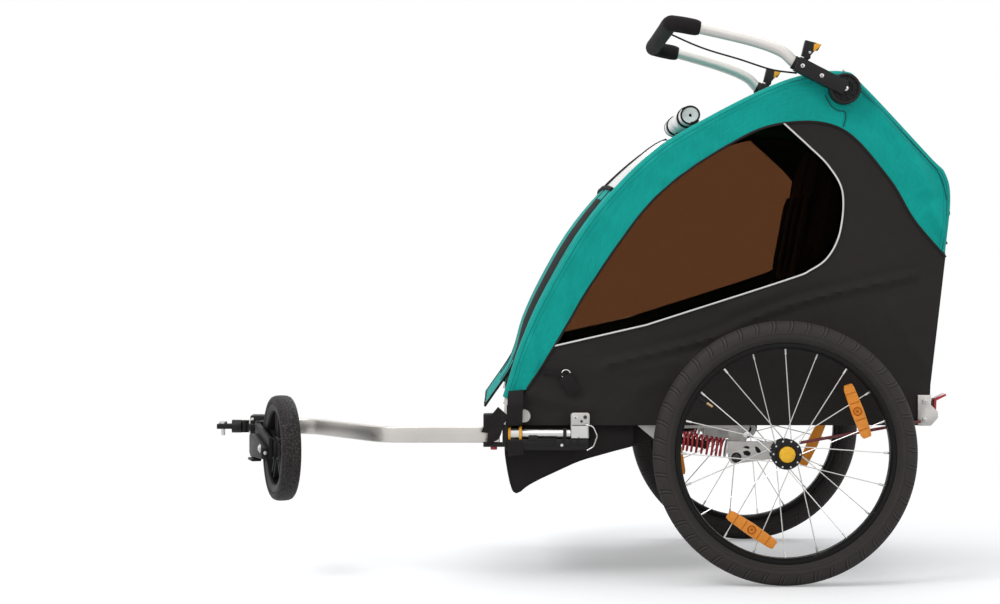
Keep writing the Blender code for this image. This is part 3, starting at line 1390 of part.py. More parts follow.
tow = pivot("tow_bar_pivot", (TOW_PIN_X, TOW_PLANE, TOW_BAR_CENTRE), base)
tip_plane = TOW_PLANE + TOW_BAR_OFFSET
bend_start = TOW_PIN_X - TOW_BAR_STRAIGHT
bend_end = bend_start - TOW_BAR_BEND_LENGTH
bar_path = rounded(
    [
        (TOW_PIN_X + TOW_BAR_END, TOW_PLANE),
        (bend_start, TOW_PLANE),
        (bend_end, tip_plane),
        (TOW_TIP_X, tip_plane),
    ],
    TOW_BAR_CORNER,
    5,
)
half = TOW_BAR_WIDTH / 2
bar = top_plate(inset(bar_path, half) + inset(bar_path, -half)[::-1], bar_low, bar_high)
bar_bore = cylinder(
    (TOW_PIN_X, TOW_PLANE, bar_low - CUT_MARGIN),
    (TOW_PIN_X, TOW_PLANE, bar_high + CUT_MARGIN),
    TOW_PIN_RADIUS + PIN_GAP,
    16,
)
finish(cut(bar, bar_bore), "tow_bar", "aluminium", tow)

knuckle_x = TOW_TIP_X - GAP - HITCH_KNUCKLE_RADIUS
hitch = pivot("tow_hitch_pivot", (knuckle_x, tip_plane, TOW_BAR_CENTRE), tow)
knuckle_half = HITCH_RADIUS * 0.92
knuckle = cylinder(
    (knuckle_x, tip_plane, TOW_BAR_CENTRE - knuckle_half),
    (knuckle_x, tip_plane, TOW_BAR_CENTRE + knuckle_half),
    HITCH_KNUCKLE_RADIUS,
    20,
)
link_end = TOW_TIP_X - GAP - HITCH_LENGTH
link = cylinder(
    (knuckle_x - HITCH_KNUCKLE_RADIUS * 2 / 3, tip_plane, TOW_BAR_CENTRE),
    (link_end, tip_plane, TOW_BAR_CENTRE),
    HITCH_RADIUS,
    20,
)
tongue = box(
    (link_end + GAP, tip_plane - TONGUE_WIDTH / 2, TOW_BAR_CENTRE - TONGUE_THICKNESS / 2),
    (HITCH_TIP_X, tip_plane + TONGUE_WIDTH / 2, TOW_BAR_CENTRE + TONGUE_THICKNESS / 2),
    EDGE_ROUNDING / 2,
)
hitch_pin_x = HITCH_TIP_X + HITCH_PIN_FROM_TIP
tongue_bore = cylinder(
    (hitch_pin_x, tip_plane, TOW_BAR_CENTRE - CUT_MARGIN),
    (hitch_pin_x, tip_plane, TOW_BAR_CENTRE + CUT_MARGIN),
    HITCH_PIN_RADIUS + PIN_GAP,
    16,
)
finish(cut(combine(link, [knuckle, tongue]), tongue_bore), "tow_hitch", "rubber", hitch)

hitch_pin = pivot("hitch_pin_axis", (hitch_pin_x, tip_plane, TOW_BAR_CENTRE), hitch)
head_low = TOW_BAR_CENTRE + TONGUE_THICKNESS / 2 + GAP
shaft = cylinder(
    (hitch_pin_x, tip_plane, TOW_BAR_CENTRE - HITCH_PIN_BELOW),
    (hitch_pin_x, tip_plane, head_low + HITCH_PIN_HEAD_THICKNESS / 2),
    HITCH_PIN_RADIUS,
    16,
)
knob = cylinder(
    (hitch_pin_x, tip_plane, head_low),
    (hitch_pin_x, tip_plane, head_low + HITCH_PIN_HEAD_THICKNESS),
    HITCH_PIN_HEAD_RADIUS,
    16,
)
finish(combine(shaft, [knob]), "hitch_pin", "steel", hitch_pin)


# Stroller kit: a clamp on the bar, an arm that flips down, a fork that swivels, and its wheel

kit_x = TOW_TIP_X + KIT_FROM_TIP
kit_hinge_y = tip_plane - half - KIT_HINGE_OUT
kit_height = TOW_BAR_CENTRE
kit_wheel_y = kit_hinge_y - (kit_height - KIT_WHEEL_RADIUS)
hinge_at = Vector((kit_x, kit_hinge_y, kit_height))
kit_frame = Matrix.Translation(hinge_at) @ Matrix.Rotation(KIT_TURN, 4, "Z") @ Matrix.Translation(-hinge_at)
clamp_low = kit_hinge_y + KIT_CLAMP_FROM_HINGE
clamp_reach = KIT_HALF + GAP + KIT_LUG_THICKNESS
kit_clamp = box(
    (kit_x - clamp_reach, clamp_low, kit_height - KIT_CLAMP_HALF_HEIGHT),
    (kit_x + clamp_reach, tip_plane + half + KIT_CLAMP_BEHIND_BAR, kit_height + KIT_CLAMP_HALF_HEIGHT),
    EDGE_ROUNDING,
)
ears = [
    box(
        (x_low, kit_hinge_y - KIT_LUG_HALF, kit_height - KIT_LUG_HALF),
        (x_low + KIT_LUG_THICKNESS, clamp_low + 3 * EDGE_ROUNDING, kit_height + KIT_LUG_HALF),
    )
    for x_low in (kit_x - clamp_reach, kit_x + KIT_HALF + GAP)
]
pin_reach = clamp_reach - KIT_LUG_THICKNESS / 2
kit_pin = cylinder(
    (kit_x - pin_reach, kit_hinge_y, kit_height),
    (kit_x + pin_reach, kit_hinge_y, kit_height),
    KIT_PIN_RADIUS,
    16,
)
bar_slot = box(
    (kit_x - 2 * clamp_reach, tip_plane - half - GAP, bar_low - GAP),
    (kit_x + 2 * clamp_reach, tip_plane + half + GAP, bar_high + GAP),
)
turned_parts = [place(piece, kit_frame) for piece in (*ears, kit_pin)]
finish(cut(combine(kit_clamp, turned_parts), bar_slot), "stroller_clamp", "black_plastic", tow)

kit_arm = pivot("stroller_arm_pivot", hinge_at, tow)
socket_end = kit_hinge_y - KIT_SOCKET_END
socket_start = kit_hinge_y - KIT_SOCKET_START
knuckle = cylinder(
    (kit_x - KIT_HALF, kit_hinge_y, kit_height),
    (kit_x + KIT_HALF, kit_hinge_y, kit_height),
    KIT_KNUCKLE_RADIUS,
    16,
)
neck_half = KIT_HALF - KIT_NECK_INSET
neck = box(
    (kit_x - neck_half, socket_end - 2 * EDGE_ROUNDING, kit_height - KIT_NECK_HALF),
    (kit_x + neck_half, kit_hinge_y, kit_height + KIT_NECK_HALF),
)
block = box(
    (kit_x - KIT_SOCKET_HALF, socket_start, kit_height - KIT_SOCKET_HALF),
    (kit_x + KIT_SOCKET_HALF, socket_end, kit_height + KIT_SOCKET_HALF),
    1.5 * EDGE_ROUNDING,
)
arm = cut(
    combine(block, [neck, knuckle]),
    cylinder(
        (kit_x - 2 * KIT_HALF, kit_hinge_y, kit_height),
        (kit_x + 2 * KIT_HALF, kit_hinge_y, kit_height),
        KIT_PIN_RADIUS + PIN_GAP,
        16,
    ),
    cylinder(
        (kit_x, socket_start - CUT_MARGIN, kit_height),
        (kit_x, socket_end - KIT_PIN_RADIUS * 1.5, kit_height),
        KIT_STEM_RADIUS + PIN_GAP,
        20,
    ),
)
finish(place(arm, kit_frame), "stroller_arm", "black_plastic", kit_arm)

swivel = pivot("stroller_swivel_axis", kit_frame @ Vector((kit_x, socket_start, kit_height)), kit_arm)
crown_y = socket_start - GAP
wheel_face = kit_x - KIT_WHEEL_WIDTH / 2 - GAP
fork_face = wheel_face - KIT_FORK_THICKNESS
axle_z = kit_height - KIT_WHEEL_TRAIL
crown_lap = EDGE_ROUNDING / 2
stem = cylinder(
    (kit_x, crown_y - KIT_CROWN_THICKNESS / 2, kit_height),
    (kit_x, socket_end - 2 * KIT_PIN_RADIUS, kit_height),
    KIT_STEM_RADIUS,
    20,
)
crown = box(
    (fork_face + crown_lap, crown_y - KIT_CROWN_THICKNESS, kit_height - KIT_CROWN_BELOW),
    (kit_x + KIT_CROWN_REACH, crown_y, kit_height + KIT_CROWN_ABOVE),
    crown_lap,
)
blade = top_plate(
    [
        (KIT_BLADE_TOP, crown_y - crown_lap),
        (-1.2 * KIT_BLADE_TOP, crown_y - crown_lap),
        (-KIT_BLADE_HALF - KIT_WHEEL_TRAIL, kit_wheel_y - KIT_BLADE_END),
        (KIT_BLADE_HALF - KIT_WHEEL_TRAIL, kit_wheel_y - KIT_BLADE_END),
    ],
    0,
    KIT_FORK_THICKNESS,
)
blade = place(blade, Matrix.Translation((wheel_face, 0, kit_height)) @ Matrix.Rotation(-math.pi / 2, 4, "Y"))
kit_axle = cylinder(
    (fork_face + crown_lap, kit_wheel_y, axle_z),
    (kit_x + 0.4 * KIT_WHEEL_WIDTH, kit_wheel_y, axle_z),
    KIT_AXLE_RADIUS,
    16,
)
finish(place(combine(crown, [stem, blade, kit_axle]), kit_frame), "stroller_fork", "black_plastic", swivel)

kit_axis_at = Vector((kit_x, kit_wheel_y, axle_z))
kit_wheel_axis = pivot("stroller_wheel_axis", kit_frame @ kit_axis_at, swivel)
half = KIT_WHEEL_WIDTH / 2
rim_radius = KIT_WHEEL_RADIUS * 0.66
bore = KIT_AXLE_RADIUS + PIN_GAP
kit_wheel = turned(
    [
        (bore, half),
        (KIT_HUB_RADIUS, half),
        (KIT_HUB_RADIUS * 1.2, half - KIT_DISH),
        (rim_radius, half - KIT_DISH),
        (rim_radius + KIT_DISH * 0.4, half - KIT_DISH * 0.1),
        (KIT_WHEEL_RADIUS - KIT_TREAD, half),
        (KIT_WHEEL_RADIUS - KIT_SHOULDER, half - KIT_DISH * 0.8),
        (KIT_WHEEL_RADIUS, 0),
        (KIT_WHEEL_RADIUS - KIT_SHOULDER, -half + KIT_DISH * 0.8),
        (KIT_WHEEL_RADIUS - KIT_TREAD, -half),
        (rim_radius + KIT_DISH * 0.4, -half + KIT_DISH * 0.1),
        (rim_radius, -half + KIT_DISH),
        (KIT_HUB_RADIUS * 1.2, -half + KIT_DISH),
        (KIT_HUB_RADIUS, -half),
        (bore, -half),
    ],
    kit_axis_at,
    (-1, 0, 0),
    28,
    ring=True,
)
finish(place(kit_wheel, kit_frame), "stroller_wheel", "rubber", kit_wheel_axis)
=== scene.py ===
import math

import bmesh
import bpy
from mathutils import Matrix, Vector, noise


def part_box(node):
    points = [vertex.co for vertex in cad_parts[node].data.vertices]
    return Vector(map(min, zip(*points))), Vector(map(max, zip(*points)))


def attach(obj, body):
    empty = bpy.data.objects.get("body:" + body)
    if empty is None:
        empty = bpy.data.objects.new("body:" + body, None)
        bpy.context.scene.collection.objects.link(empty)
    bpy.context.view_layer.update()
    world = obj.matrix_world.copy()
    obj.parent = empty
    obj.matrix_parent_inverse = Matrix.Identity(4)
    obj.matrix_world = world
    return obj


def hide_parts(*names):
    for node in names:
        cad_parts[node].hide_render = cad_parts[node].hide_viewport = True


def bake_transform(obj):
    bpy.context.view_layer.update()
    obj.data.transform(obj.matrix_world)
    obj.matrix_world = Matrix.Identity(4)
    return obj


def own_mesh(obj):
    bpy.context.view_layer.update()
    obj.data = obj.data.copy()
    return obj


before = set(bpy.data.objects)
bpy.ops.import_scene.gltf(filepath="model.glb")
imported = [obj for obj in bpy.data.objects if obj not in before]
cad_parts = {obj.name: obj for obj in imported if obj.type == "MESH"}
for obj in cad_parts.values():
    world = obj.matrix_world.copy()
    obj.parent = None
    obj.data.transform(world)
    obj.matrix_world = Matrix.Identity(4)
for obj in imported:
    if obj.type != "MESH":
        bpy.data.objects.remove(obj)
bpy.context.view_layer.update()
scene = bpy.context.scene


# Camera: level with the middle of the trailer and square to its left side.

lens = bpy.data.cameras.new("camera")
lens.lens = 83.0
lens.sensor_width = 36.0
lens.shift_x = 0.001
lens.shift_y = -0.039
camera = bpy.data.objects.new("camera", lens)
camera.location = (-0.15085, -4.72, 0.609)
camera.rotation_euler = (math.pi / 2, 0, 0)
scene.collection.objects.link(camera)
scene.camera = camera
scene.view_settings.view_transform = "Standard"


# Wrist strap: a limp round cord in black polyester that runs from under the grip to the left
# handlebar arm, where it is sewn round the arm. Its weave twists round its length.


class Value:
    """A number that changes over a surface, written with ordinary arithmetic."""

    def __init__(self, tree, socket):
        self.tree = tree
        self.socket = socket

    def math(self, operation, first, second=0.5):
        step = self.tree.nodes.new("ShaderNodeMath")
        step.operation = operation
        for slot, item in zip(step.inputs, (first, second)):
            if isinstance(item, Value):
                self.tree.links.new(item.socket, slot)
            else:
                slot.default_value = item
        return Value(self.tree, step.outputs[0])

    def __add__(self, other):
        return self.math("ADD", self, other)

    def __sub__(self, other):
        return self.math("SUBTRACT", self, other)

    def __rsub__(self, other):
        return self.math("SUBTRACT", other, self)

    def __mul__(self, other):
        return self.math("MULTIPLY", self, other)

    __radd__ = __add__
    __rmul__ = __mul__

    def sine(self, pitch):
        return self.math("SINE", self * (2 * math.pi / pitch))

    def size(self):
        return self.math("ABSOLUTE", self)

    def repeat(self, pitch):
        return self.math("FRACT", self * (1 / pitch))


class Finish:
    """A material, its shader and the patterns that feed it."""

    def __init__(self, name, colour, roughness, **fixed):
        self.material = bpy.data.materials.new(name)
        self.material.use_nodes = True
        self.material.diffuse_color = (*colour, 1)
        self.tree = self.material.node_tree
        self.shader = self.tree.nodes["Principled BSDF"]
        self.colour = colour
        self.roughness = roughness
        self.shader.inputs["Base Color"].default_value = (*colour, 1)
        self.shader.inputs["Roughness"].default_value = roughness
        for socket, value in fixed.items():
            self.shader.inputs[socket.replace("_", " ")].default_value = value
        self.heights = []

    def node(self, kind, settings=None, **sockets):
        made = self.tree.nodes.new("ShaderNode" + kind)
        for name, value in (settings or {}).items():
            setattr(made, name, value)
        for name, value in sockets.items():
            slot = made.inputs[int(name[1:]) if name[0] == "n" and name[1:].isdigit() else name]
            if isinstance(value, Value):
                self.tree.links.new(value.socket, slot)
            else:
                slot.default_value = value
        return made

    def out(self, made, name=0):
        return Value(self.tree, made.outputs[name])

    def place(self, kind="Object"):
        return self.out(self.node("TexCoord"), kind)

    def parts(self, kind="Object"):
        """The separate coordinates of a place, in metres."""
        split = self.node("SeparateXYZ", Vector=self.place(kind))
        return [self.out(split, i) for i in range(3)]

    def grain(self, size, detail=2.0, kind="Object", stretch=(1, 1, 1), roughness=0.5):
        """Soft noise whose lumps are about a size across, from 0 to 1."""
        scaled = self.node("VectorMath", {"operation": "MULTIPLY"}, n0=self.place(kind), n1=stretch)
        made = self.node(
            "TexNoise", Vector=self.out(scaled), Scale=1 / size, Detail=detail, Roughness=roughness
        )
        return self.out(made, "Fac")

    def step(self, value, low, high):
        """A soft step from 0 at low to 1 at high."""
        made = self.node(
            "MapRange", {"interpolation_type": "SMOOTHSTEP"}, Value=value,
            **{"From Min": low, "From Max": high},
        )
        return self.out(made, "Result")

    def line(self, value, middle, half):
        """1 within a half width of a middle, falling softly to 0."""
        return 1 - self.step((value - middle).size(), half * 0.6, half * 1.4)

    def mixed(self, factor, first, second):
        """A colour between two."""
        ends = [(*end, 1) if isinstance(end, tuple) else end for end in (first, second)]
        made = self.node("Mix", {"data_type": "RGBA"}, n0=factor, n6=ends[0], n7=ends[1])
        return self.out(made, 2)

    def tint(self, amount):
        """The finish's own colour, darker or lighter."""
        return tuple(min(part * amount, 1) for part in self.colour)

    def paint(self, value):
        self.tree.links.new(value.socket, self.shader.inputs["Base Color"])

    def rough(self, value):
        self.tree.links.new(value.socket, self.shader.inputs["Roughness"])

    def raise_by(self, height, distance, strength=1.0):
        """Adds a height, in metres, on top of the ones before it."""
        sockets = {"Height": height, "Distance": distance, "Strength": strength}
        if self.heights:
            sockets["Normal"] = self.heights[-1]
        self.heights.append(self.out(self.node("Bump", **sockets), "Normal"))
        self.tree.links.new(self.heights[-1].socket, self.shader.inputs["Normal"])


def only(*pieces):
    """Selects some objects and nothing else, the first of them active."""
    bpy.ops.object.select_all(action="DESELECT")
    for piece in pieces:
        piece.select_set(True)
    bpy.context.view_layer.objects.active = pieces[0]


def new_mesh(name, points, edges=(), faces=()):
    mesh = bpy.data.meshes.new(name)
    mesh.from_pydata([tuple(point) for point in points], edges, faces)
    piece = bpy.data.objects.new(name, mesh)
    scene.collection.objects.link(piece)
    return piece


def dress(piece, finish, body, *nodes):
    """Gives a piece its finish, the body it rides on, if one, and the CAD nodes it stands for."""
    piece.data.materials.clear()
    piece.data.materials.append(finish.material)
    if body:
        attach(piece, body)
    if nodes:
        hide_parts(*nodes)
    return piece


def smooth(points, steps):
    """A smooth curve through points, with a number of steps between each two."""
    points = [Vector(point) for point in points]
    ends = [points[0] * 2 - points[1], *points, points[-1] * 2 - points[-2]]
    path = []
    for a, b, c, d in zip(ends, ends[1:], ends[2:], ends[3:]):
        for i in range(steps):
            t = i / steps
            bend = (a * 2 - b * 5 + c * 4 - d) * t**2 + (b * 3 - a - c * 3 + d) * t**3
            path.append((b * 2 + (c - a) * t + bend) / 2)
    path.append(points[-1])
    return path


def wire(name, points, radius, rings=3, closed=False, mesh=True, radii=None):
    """A round tube along points."""
    curve = bpy.data.curves.new(name, "CURVE")
    curve.dimensions = "3D"
    curve.bevel_depth = radius
    curve.bevel_resolution = rings
    curve.use_fill_caps = not closed
    spline = curve.splines.new("POLY")
    spline.points.add(len(points) - 1)
    for i, (spot, at) in enumerate(zip(spline.points, points)):
        spot.co = (*at, 1)
        spot.radius = radii[i] if radii else 1
    spline.use_cyclic_u = closed
    piece = bpy.data.objects.new(name, curve)
    scene.collection.objects.link(piece)
    if mesh:
        only(piece)
        bpy.ops.object.convert(target="MESH")
        bpy.ops.object.shade_smooth_by_angle(angle=math.radians(40))
    return piece


STRAP_ROUTE = [
    (0.18489, -0.222, 1.0549),
    (0.22679, -0.23912, 1.03389),
    (0.2617, -0.25338, 1.01938),
    (0.3129, -0.2743, 1.00183),
    (0.37109, -0.29808, 0.98018),
    (0.41764, -0.3171, 0.97149),
]
webbing = Finish("polyester_webbing", (0.0100, 0.0085, 0.0082), 0.8, Specular_IOR_Level=0.2)
across, along, height = webbing.parts()
ribs = (across + along * 0.8 + height * 1.1).sine(0.0016) * (across - height).sine(0.0023)
fray = webbing.grain(0.004, 3)
webbing.paint(webbing.mixed(fray, webbing.tint(0.7), webbing.tint(2.0)))
webbing.rough(0.72 + fray * 0.18)
webbing.raise_by(ribs, 0.0003, 0.6)

strap_points = smooth(STRAP_ROUTE, 7)
strap_length = sum((b - a).length for a, b in zip(strap_points, strap_points[1:]))
wrist_strap = wire("wrist_strap_cord", strap_points, 0.0018, mesh=False)
dress(wrist_strap, webbing, "handlebar", "wrist_strap")


# Floor and light: a pale studio floor that runs out into white, one broad lamp above and
# in front, a weaker one from the rear, and an even white sky.

bpy.ops.object.select_all(action="DESELECT")
bpy.ops.mesh.primitive_circle_add(vertices=96, radius=14, fill_type="NGON", location=(0, 0, -0.0005))
floor = bpy.context.object
floor.name = "studio_floor"
pale = Finish("studio_floor", (0.84, 0.84, 0.84), 0.9)
x, y, z = pale.parts()
from_middle = x.math("SQRT", x * x * 0.45 + y * y)
seen = pale.out(pale.node("LightPath"), "Is Camera Ray")
glow = pale.node("Emission", Color=(1, 1, 1, 1), Strength=1.0)
base_glow = pale.node("Emission", Color=(1, 1, 1, 1), Strength=0.235)
mix = pale.node("AddShader")
pale.tree.links.new(pale.shader.outputs[0], mix.inputs[0])
pale.tree.links.new(base_glow.outputs[0], mix.inputs[1])
camera_side = pale.node("MixShader", n0=pale.step(from_middle, 0.75, 1.9))
pale.tree.links.new(mix.outputs[0], camera_side.inputs[1])
pale.tree.links.new(glow.outputs[0], camera_side.inputs[2])
whole = pale.node("MixShader", n0=seen)
pale.tree.links.new(pale.shader.outputs[0], whole.inputs[1])
pale.tree.links.new(camera_side.outputs[0], whole.inputs[2])
pale.tree.links.new(whole.outputs[0], pale.tree.nodes["Material Output"].inputs[0])
floor.data.materials.append(pale.material)

world = bpy.data.worlds.new("studio")
scene.world = world
world.use_nodes = True
sky = world.node_tree
lit = sky.nodes["Background"]
lit.inputs["Color"].default_value = (0.93, 0.96, 1.0, 1)
lit.inputs["Strength"].default_value = 0.56
white = sky.nodes.new("ShaderNodeBackground")
white.inputs["Color"].default_value = (1, 1, 1, 1)
white.inputs["Strength"].default_value = 1.0
rays = sky.nodes.new("ShaderNodeLightPath")
seen = sky.nodes.new("ShaderNodeMath")
seen.operation = "MAXIMUM"
sky.links.new(rays.outputs["Is Camera Ray"], seen.inputs[0])
sky.links.new(rays.outputs["Is Transmission Ray"], seen.inputs[1])
shown = sky.nodes.new("ShaderNodeMath")
shown.operation = "MAXIMUM"
sky.links.new(seen.outputs[0], shown.inputs[0])
sky.links.new(rays.outputs["Is Glossy Ray"], shown.inputs[1])
either = sky.nodes.new("ShaderNodeMixShader")
sky.links.new(shown.outputs[0], either.inputs[0])
sky.links.new(lit.outputs[0], either.inputs[1])
sky.links.new(white.outputs[0], either.inputs[2])
sky.links.new(either.outputs[0], sky.nodes["World Output"].inputs["Surface"])

LAMPS = {
    "key": ((-2.0, -2.4, 3.4), 1.9, 62),
    "fill": ((2.4, -2.6, 1.8), 2.6, 14),
    "top": ((0.3, 0.2, 3.4), 3.0, 34),
    "back": ((0.6, 3.2, 2.4), 2.4, 26),
}
for name, (at, size, power) in LAMPS.items():
    lamp = bpy.data.lights.new(name, "AREA")
    lamp.shape = "DISK"
    lamp.size = size
    lamp.energy = power
    holder = bpy.data.objects.new(name, lamp)
    holder.location = at
    holder.rotation_euler = (Vector((0.1, 0, 0.5)) - Vector(at)).to_track_quat("-Z", "Y").to_euler()
    scene.collection.objects.link(holder)


# Base frame: black powder-coated rails and cross tubes with their hinge lugs, as one welded
# frame. The coat has a fine orange peel, and is dusted paler in soft random patches.


def painted(name, colour, roughness=0.36):
    coat = Finish(name, colour, roughness, Coat_Weight=0.15)
    dust = coat.grain(0.05, 4)
    spots = coat.grain(0.0016, 1)
    coat.paint(coat.mixed(coat.step(dust, 0.45, 0.8), coat.tint(0.9), coat.tint(1.35)))
    coat.rough(roughness - 0.06 + dust * 0.16)
    coat.raise_by(spots, 0.00025, 0.35)
    return coat


black_paint = painted("black_powder_coat", (0.014, 0.013, 0.013))
for node in ("base_rail_left", "base_rail_right", "front_cross_tube", "axle_cross_tube", "rear_cross_tube"):
    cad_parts[node].data.materials.clear()
    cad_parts[node].data.materials.append(black_paint.material)


def refined(node, name, finish, body, bevel=0.001, segments=2, angle=32):
    """A CAD solid's own shape with its flat faces joined up and its edges rounded."""
    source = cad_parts[node]
    piece = bpy.data.objects.new(name, source.data.copy())
    scene.collection.objects.link(piece)
    only(piece)
    bpy.ops.object.mode_set(mode="EDIT")
    bpy.ops.mesh.select_all(action="SELECT")
    bpy.ops.mesh.remove_doubles(threshold=1e-5)
    bpy.ops.mesh.dissolve_limited(angle_limit=math.radians(1.0))
    bpy.ops.object.mode_set(mode="OBJECT")
    if bevel:
        round_off = piece.modifiers.new("edges", "BEVEL")
        round_off.width = bevel
        round_off.segments = segments
        round_off.limit_method = "ANGLE"
        round_off.angle_limit = math.radians(angle)
        bpy.ops.object.modifier_apply(modifier="edges")
    bpy.ops.object.shade_smooth_by_angle(angle=math.radians(angle))
    return dress(piece, finish, body, node)


# Cage: two bent aluminium hoops with a cross bar at the roof and one at the rear, in the same
# brushed and anodised tube as the upright frame that carries the seat backs.


def brushed(name, colour, roughness, stretch):
    metal = Finish(name, colour, roughness, Metallic=1.0)
    lines = metal.grain(0.0012, 2, stretch=stretch)
    haze = metal.grain(0.09, 3)
    metal.paint(metal.mixed(haze, metal.tint(0.82), metal.tint(1.08)))
    metal.rough(roughness - 0.08 + lines * 0.14 + haze * 0.06)
    metal.raise_by(lines, 0.0001, 0.25)
    return metal


anodised = brushed("anodised_tube", (0.66, 0.635, 0.605), 0.5, (1, 1, 0.06))
anodised.shader.inputs["Metallic"].default_value = 0.6
for node in ("cage_hoop_left", "cage_hoop_right", "cage_crossbar_top", "cage_crossbar_rear", "upright_frame"):
    nodes_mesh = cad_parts[node].data
    nodes_mesh.materials.clear()
    nodes_mesh.materials.append(anodised.material)


# Cover: one sheet of teal coated polyester over the cage, from seam to seam across the roof.
# Its side bands are sewn to a black binding, and twin rows of stitches follow its front edge.

BODY_FRONT = -0.14285
BODY_LENGTH = 0.860
RAIL_HEIGHT = 0.3105
ROOF_ABOVE_RAIL = 0.6675
BODY_HALF_WIDTH = 0.2975
COVER_HALF_WIDTH = 0.250
CORNER_RADIUS = 0.013
ARCH = [
    (0.000, 0.062), (0.043, 0.228), (0.102, 0.384), (0.198, 0.584), (0.327, 0.760),
    (0.463, 0.871), (0.635, 0.976), (0.759, 1.000), (0.810, 0.953), (0.954, 0.754),
    (0.989, 0.705), (1.000, 0.627), (0.987, 0.464),
]
SEAM = [
    (0.0535, 0.085), (0.115, 0.209), (0.207, 0.407), (0.343, 0.639), (0.506, 0.789),
    (0.626, 0.849), (0.755, 0.832), (0.858, 0.694), (0.917, 0.570), (0.987, 0.464),
]
PIPING = [
    (0.677, 0.789), (0.726, 0.726), (0.757, 0.650), (0.752, 0.540),
    (0.726, 0.467), (0.686, 0.427), (0.626, 0.396), (0.319, 0.269),
]
# Each arch station's fellow on the seam, as a share along the seam's own points
FELLOWS = [0.0, 0.62, 1.25, 2.05, 2.95, 3.75, 4.85, 5.75, 6.3, 7.45, 7.9, 8.3, 9.0]


def on_body(share):
    """The (x, z) place of a share of the body's length and of its height above the rails."""
    return Vector((BODY_FRONT + share[0] * BODY_LENGTH, RAIL_HEIGHT + share[1] * ROOF_ABOVE_RAIL))


def along_line(line, at):
    """The place a number of points along a line."""
    i = min(int(at), len(line) - 2)
    return line[i].lerp(line[i + 1], at - i)


def near_line(spot, a, b):
    """How far a spot is from a stretch of line, and how far along it."""
    way = b - a
    share = max(0.0, min(1.0, (spot - a).dot(way) / way.dot(way)))
    return (spot - a - way * share).length, share


def cloth(name, colour, pitch=0.0011, sheen=0.02, kind="UV", crease=0.35, gloss=0.2):
    """Coated plain-woven polyester with slubs in its yarns and soft creases."""
    fabric = Finish(name, colour, 0.72, Sheen_Weight=sheen, Sheen_Roughness=0.4, Specular_IOR_Level=gloss)
    u, v, w = fabric.parts(kind)
    if kind == "UV":
        weave = u.sine(pitch) * v.sine(pitch)
        slubs = fabric.grain(
            0.0035, 2, kind, (1, 0.12, 1)
        ) * 0.5 + fabric.grain(0.0035, 2, kind, (0.12, 1, 1)) * 0.5
    else:
        weave = (u + v).sine(pitch) * (w + v * 0.37).sine(pitch)
        slubs = fabric.grain(
            0.0035, 2, kind, (1, 1, 0.15)
        ) * 0.5 + fabric.grain(0.0035, 2, kind, (0.15, 1, 1)) * 0.5
    faded = fabric.grain(0.16, 4, kind)
    tone = slubs * 0.7 + faded * 0.3
    fabric.tone = tone
    fabric.cloth_colour = fabric.mixed(fabric.step(tone, 0.3, 0.7), fabric.tint(0.86), fabric.tint(1.12))
    fabric.paint(fabric.cloth_colour)
    fabric.rough(0.62 + slubs * 0.2)
    fabric.raise_by(fabric.grain(0.075, 3, kind, (1, 0.6, 1)), 0.006, crease)
    fabric.raise_by(weave, 0.00022, 0.55)
    fabric.raise_by(slubs, 0.0003, 0.3)
    return fabric


def stitched(fabric, distance, along, pitch, thread, half=0.0006):
    """Rows of stitches: dashes of thread in a shallow puckered line."""
    row = fabric.line(distance, 0, half)
    dash = fabric.line(along.repeat(pitch), 0.5, 0.34)
    pull = fabric.line(distance, 0, half * 4)
    fabric.cloth_colour = fabric.mixed(row * dash, fabric.cloth_colour, thread)
    fabric.paint(fabric.cloth_colour)
    fabric.raise_by(pull * (0.6 - dash * 0.4), 0.0008, -0.6)
    fabric.raise_by(row * dash, 0.0005, 0.8)


STEPS = 10
arch = smooth([on_body(share) for share in ARCH], STEPS)
seam = smooth([on_body(share) for share in SEAM], STEPS)
fellows = [at.x for at in smooth([Vector((at, 0)) for at in FELLOWS], STEPS)]
FOLDS = [
    ((0.33, 0.735), (0.395, 0.62), 0.0030, 0.012), ((0.37, 0.78), (0.44, 0.68), 0.0026, 0.011),
    ((0.415, 0.815), (0.485, 0.735), 0.0024, 0.010), ((0.235, 0.58), (0.30, 0.50), 0.0024, 0.012),
    ((0.135, 0.37), (0.16, 0.26), 0.0028, 0.013), ((0.06, 0.21), (0.09, 0.10), 0.0030, 0.014),
    ((0.47, 0.85), (0.54, 0.79), 0.0020, 0.010), ((0.845, 0.90), (0.93, 0.66), 0.0030, 0.016),
    ((0.88, 0.86), (0.955, 0.66), 0.0024, 0.012), ((0.93, 0.72), (0.985, 0.55), 0.0034, 0.014),
    ((0.955, 0.60), (0.99, 0.50), 0.0030, 0.010), ((0.83, 0.80), (0.88, 0.70), 0.0022, 0.014),
    ((0.17, 0.47), (0.22, 0.39), 0.0022, 0.010), ((0.58, 0.93), (0.66, 0.86), 0.0018, 0.012),
]
folds = [(on_body(a), on_body(b), height, width) for a, b, height, width in FOLDS]


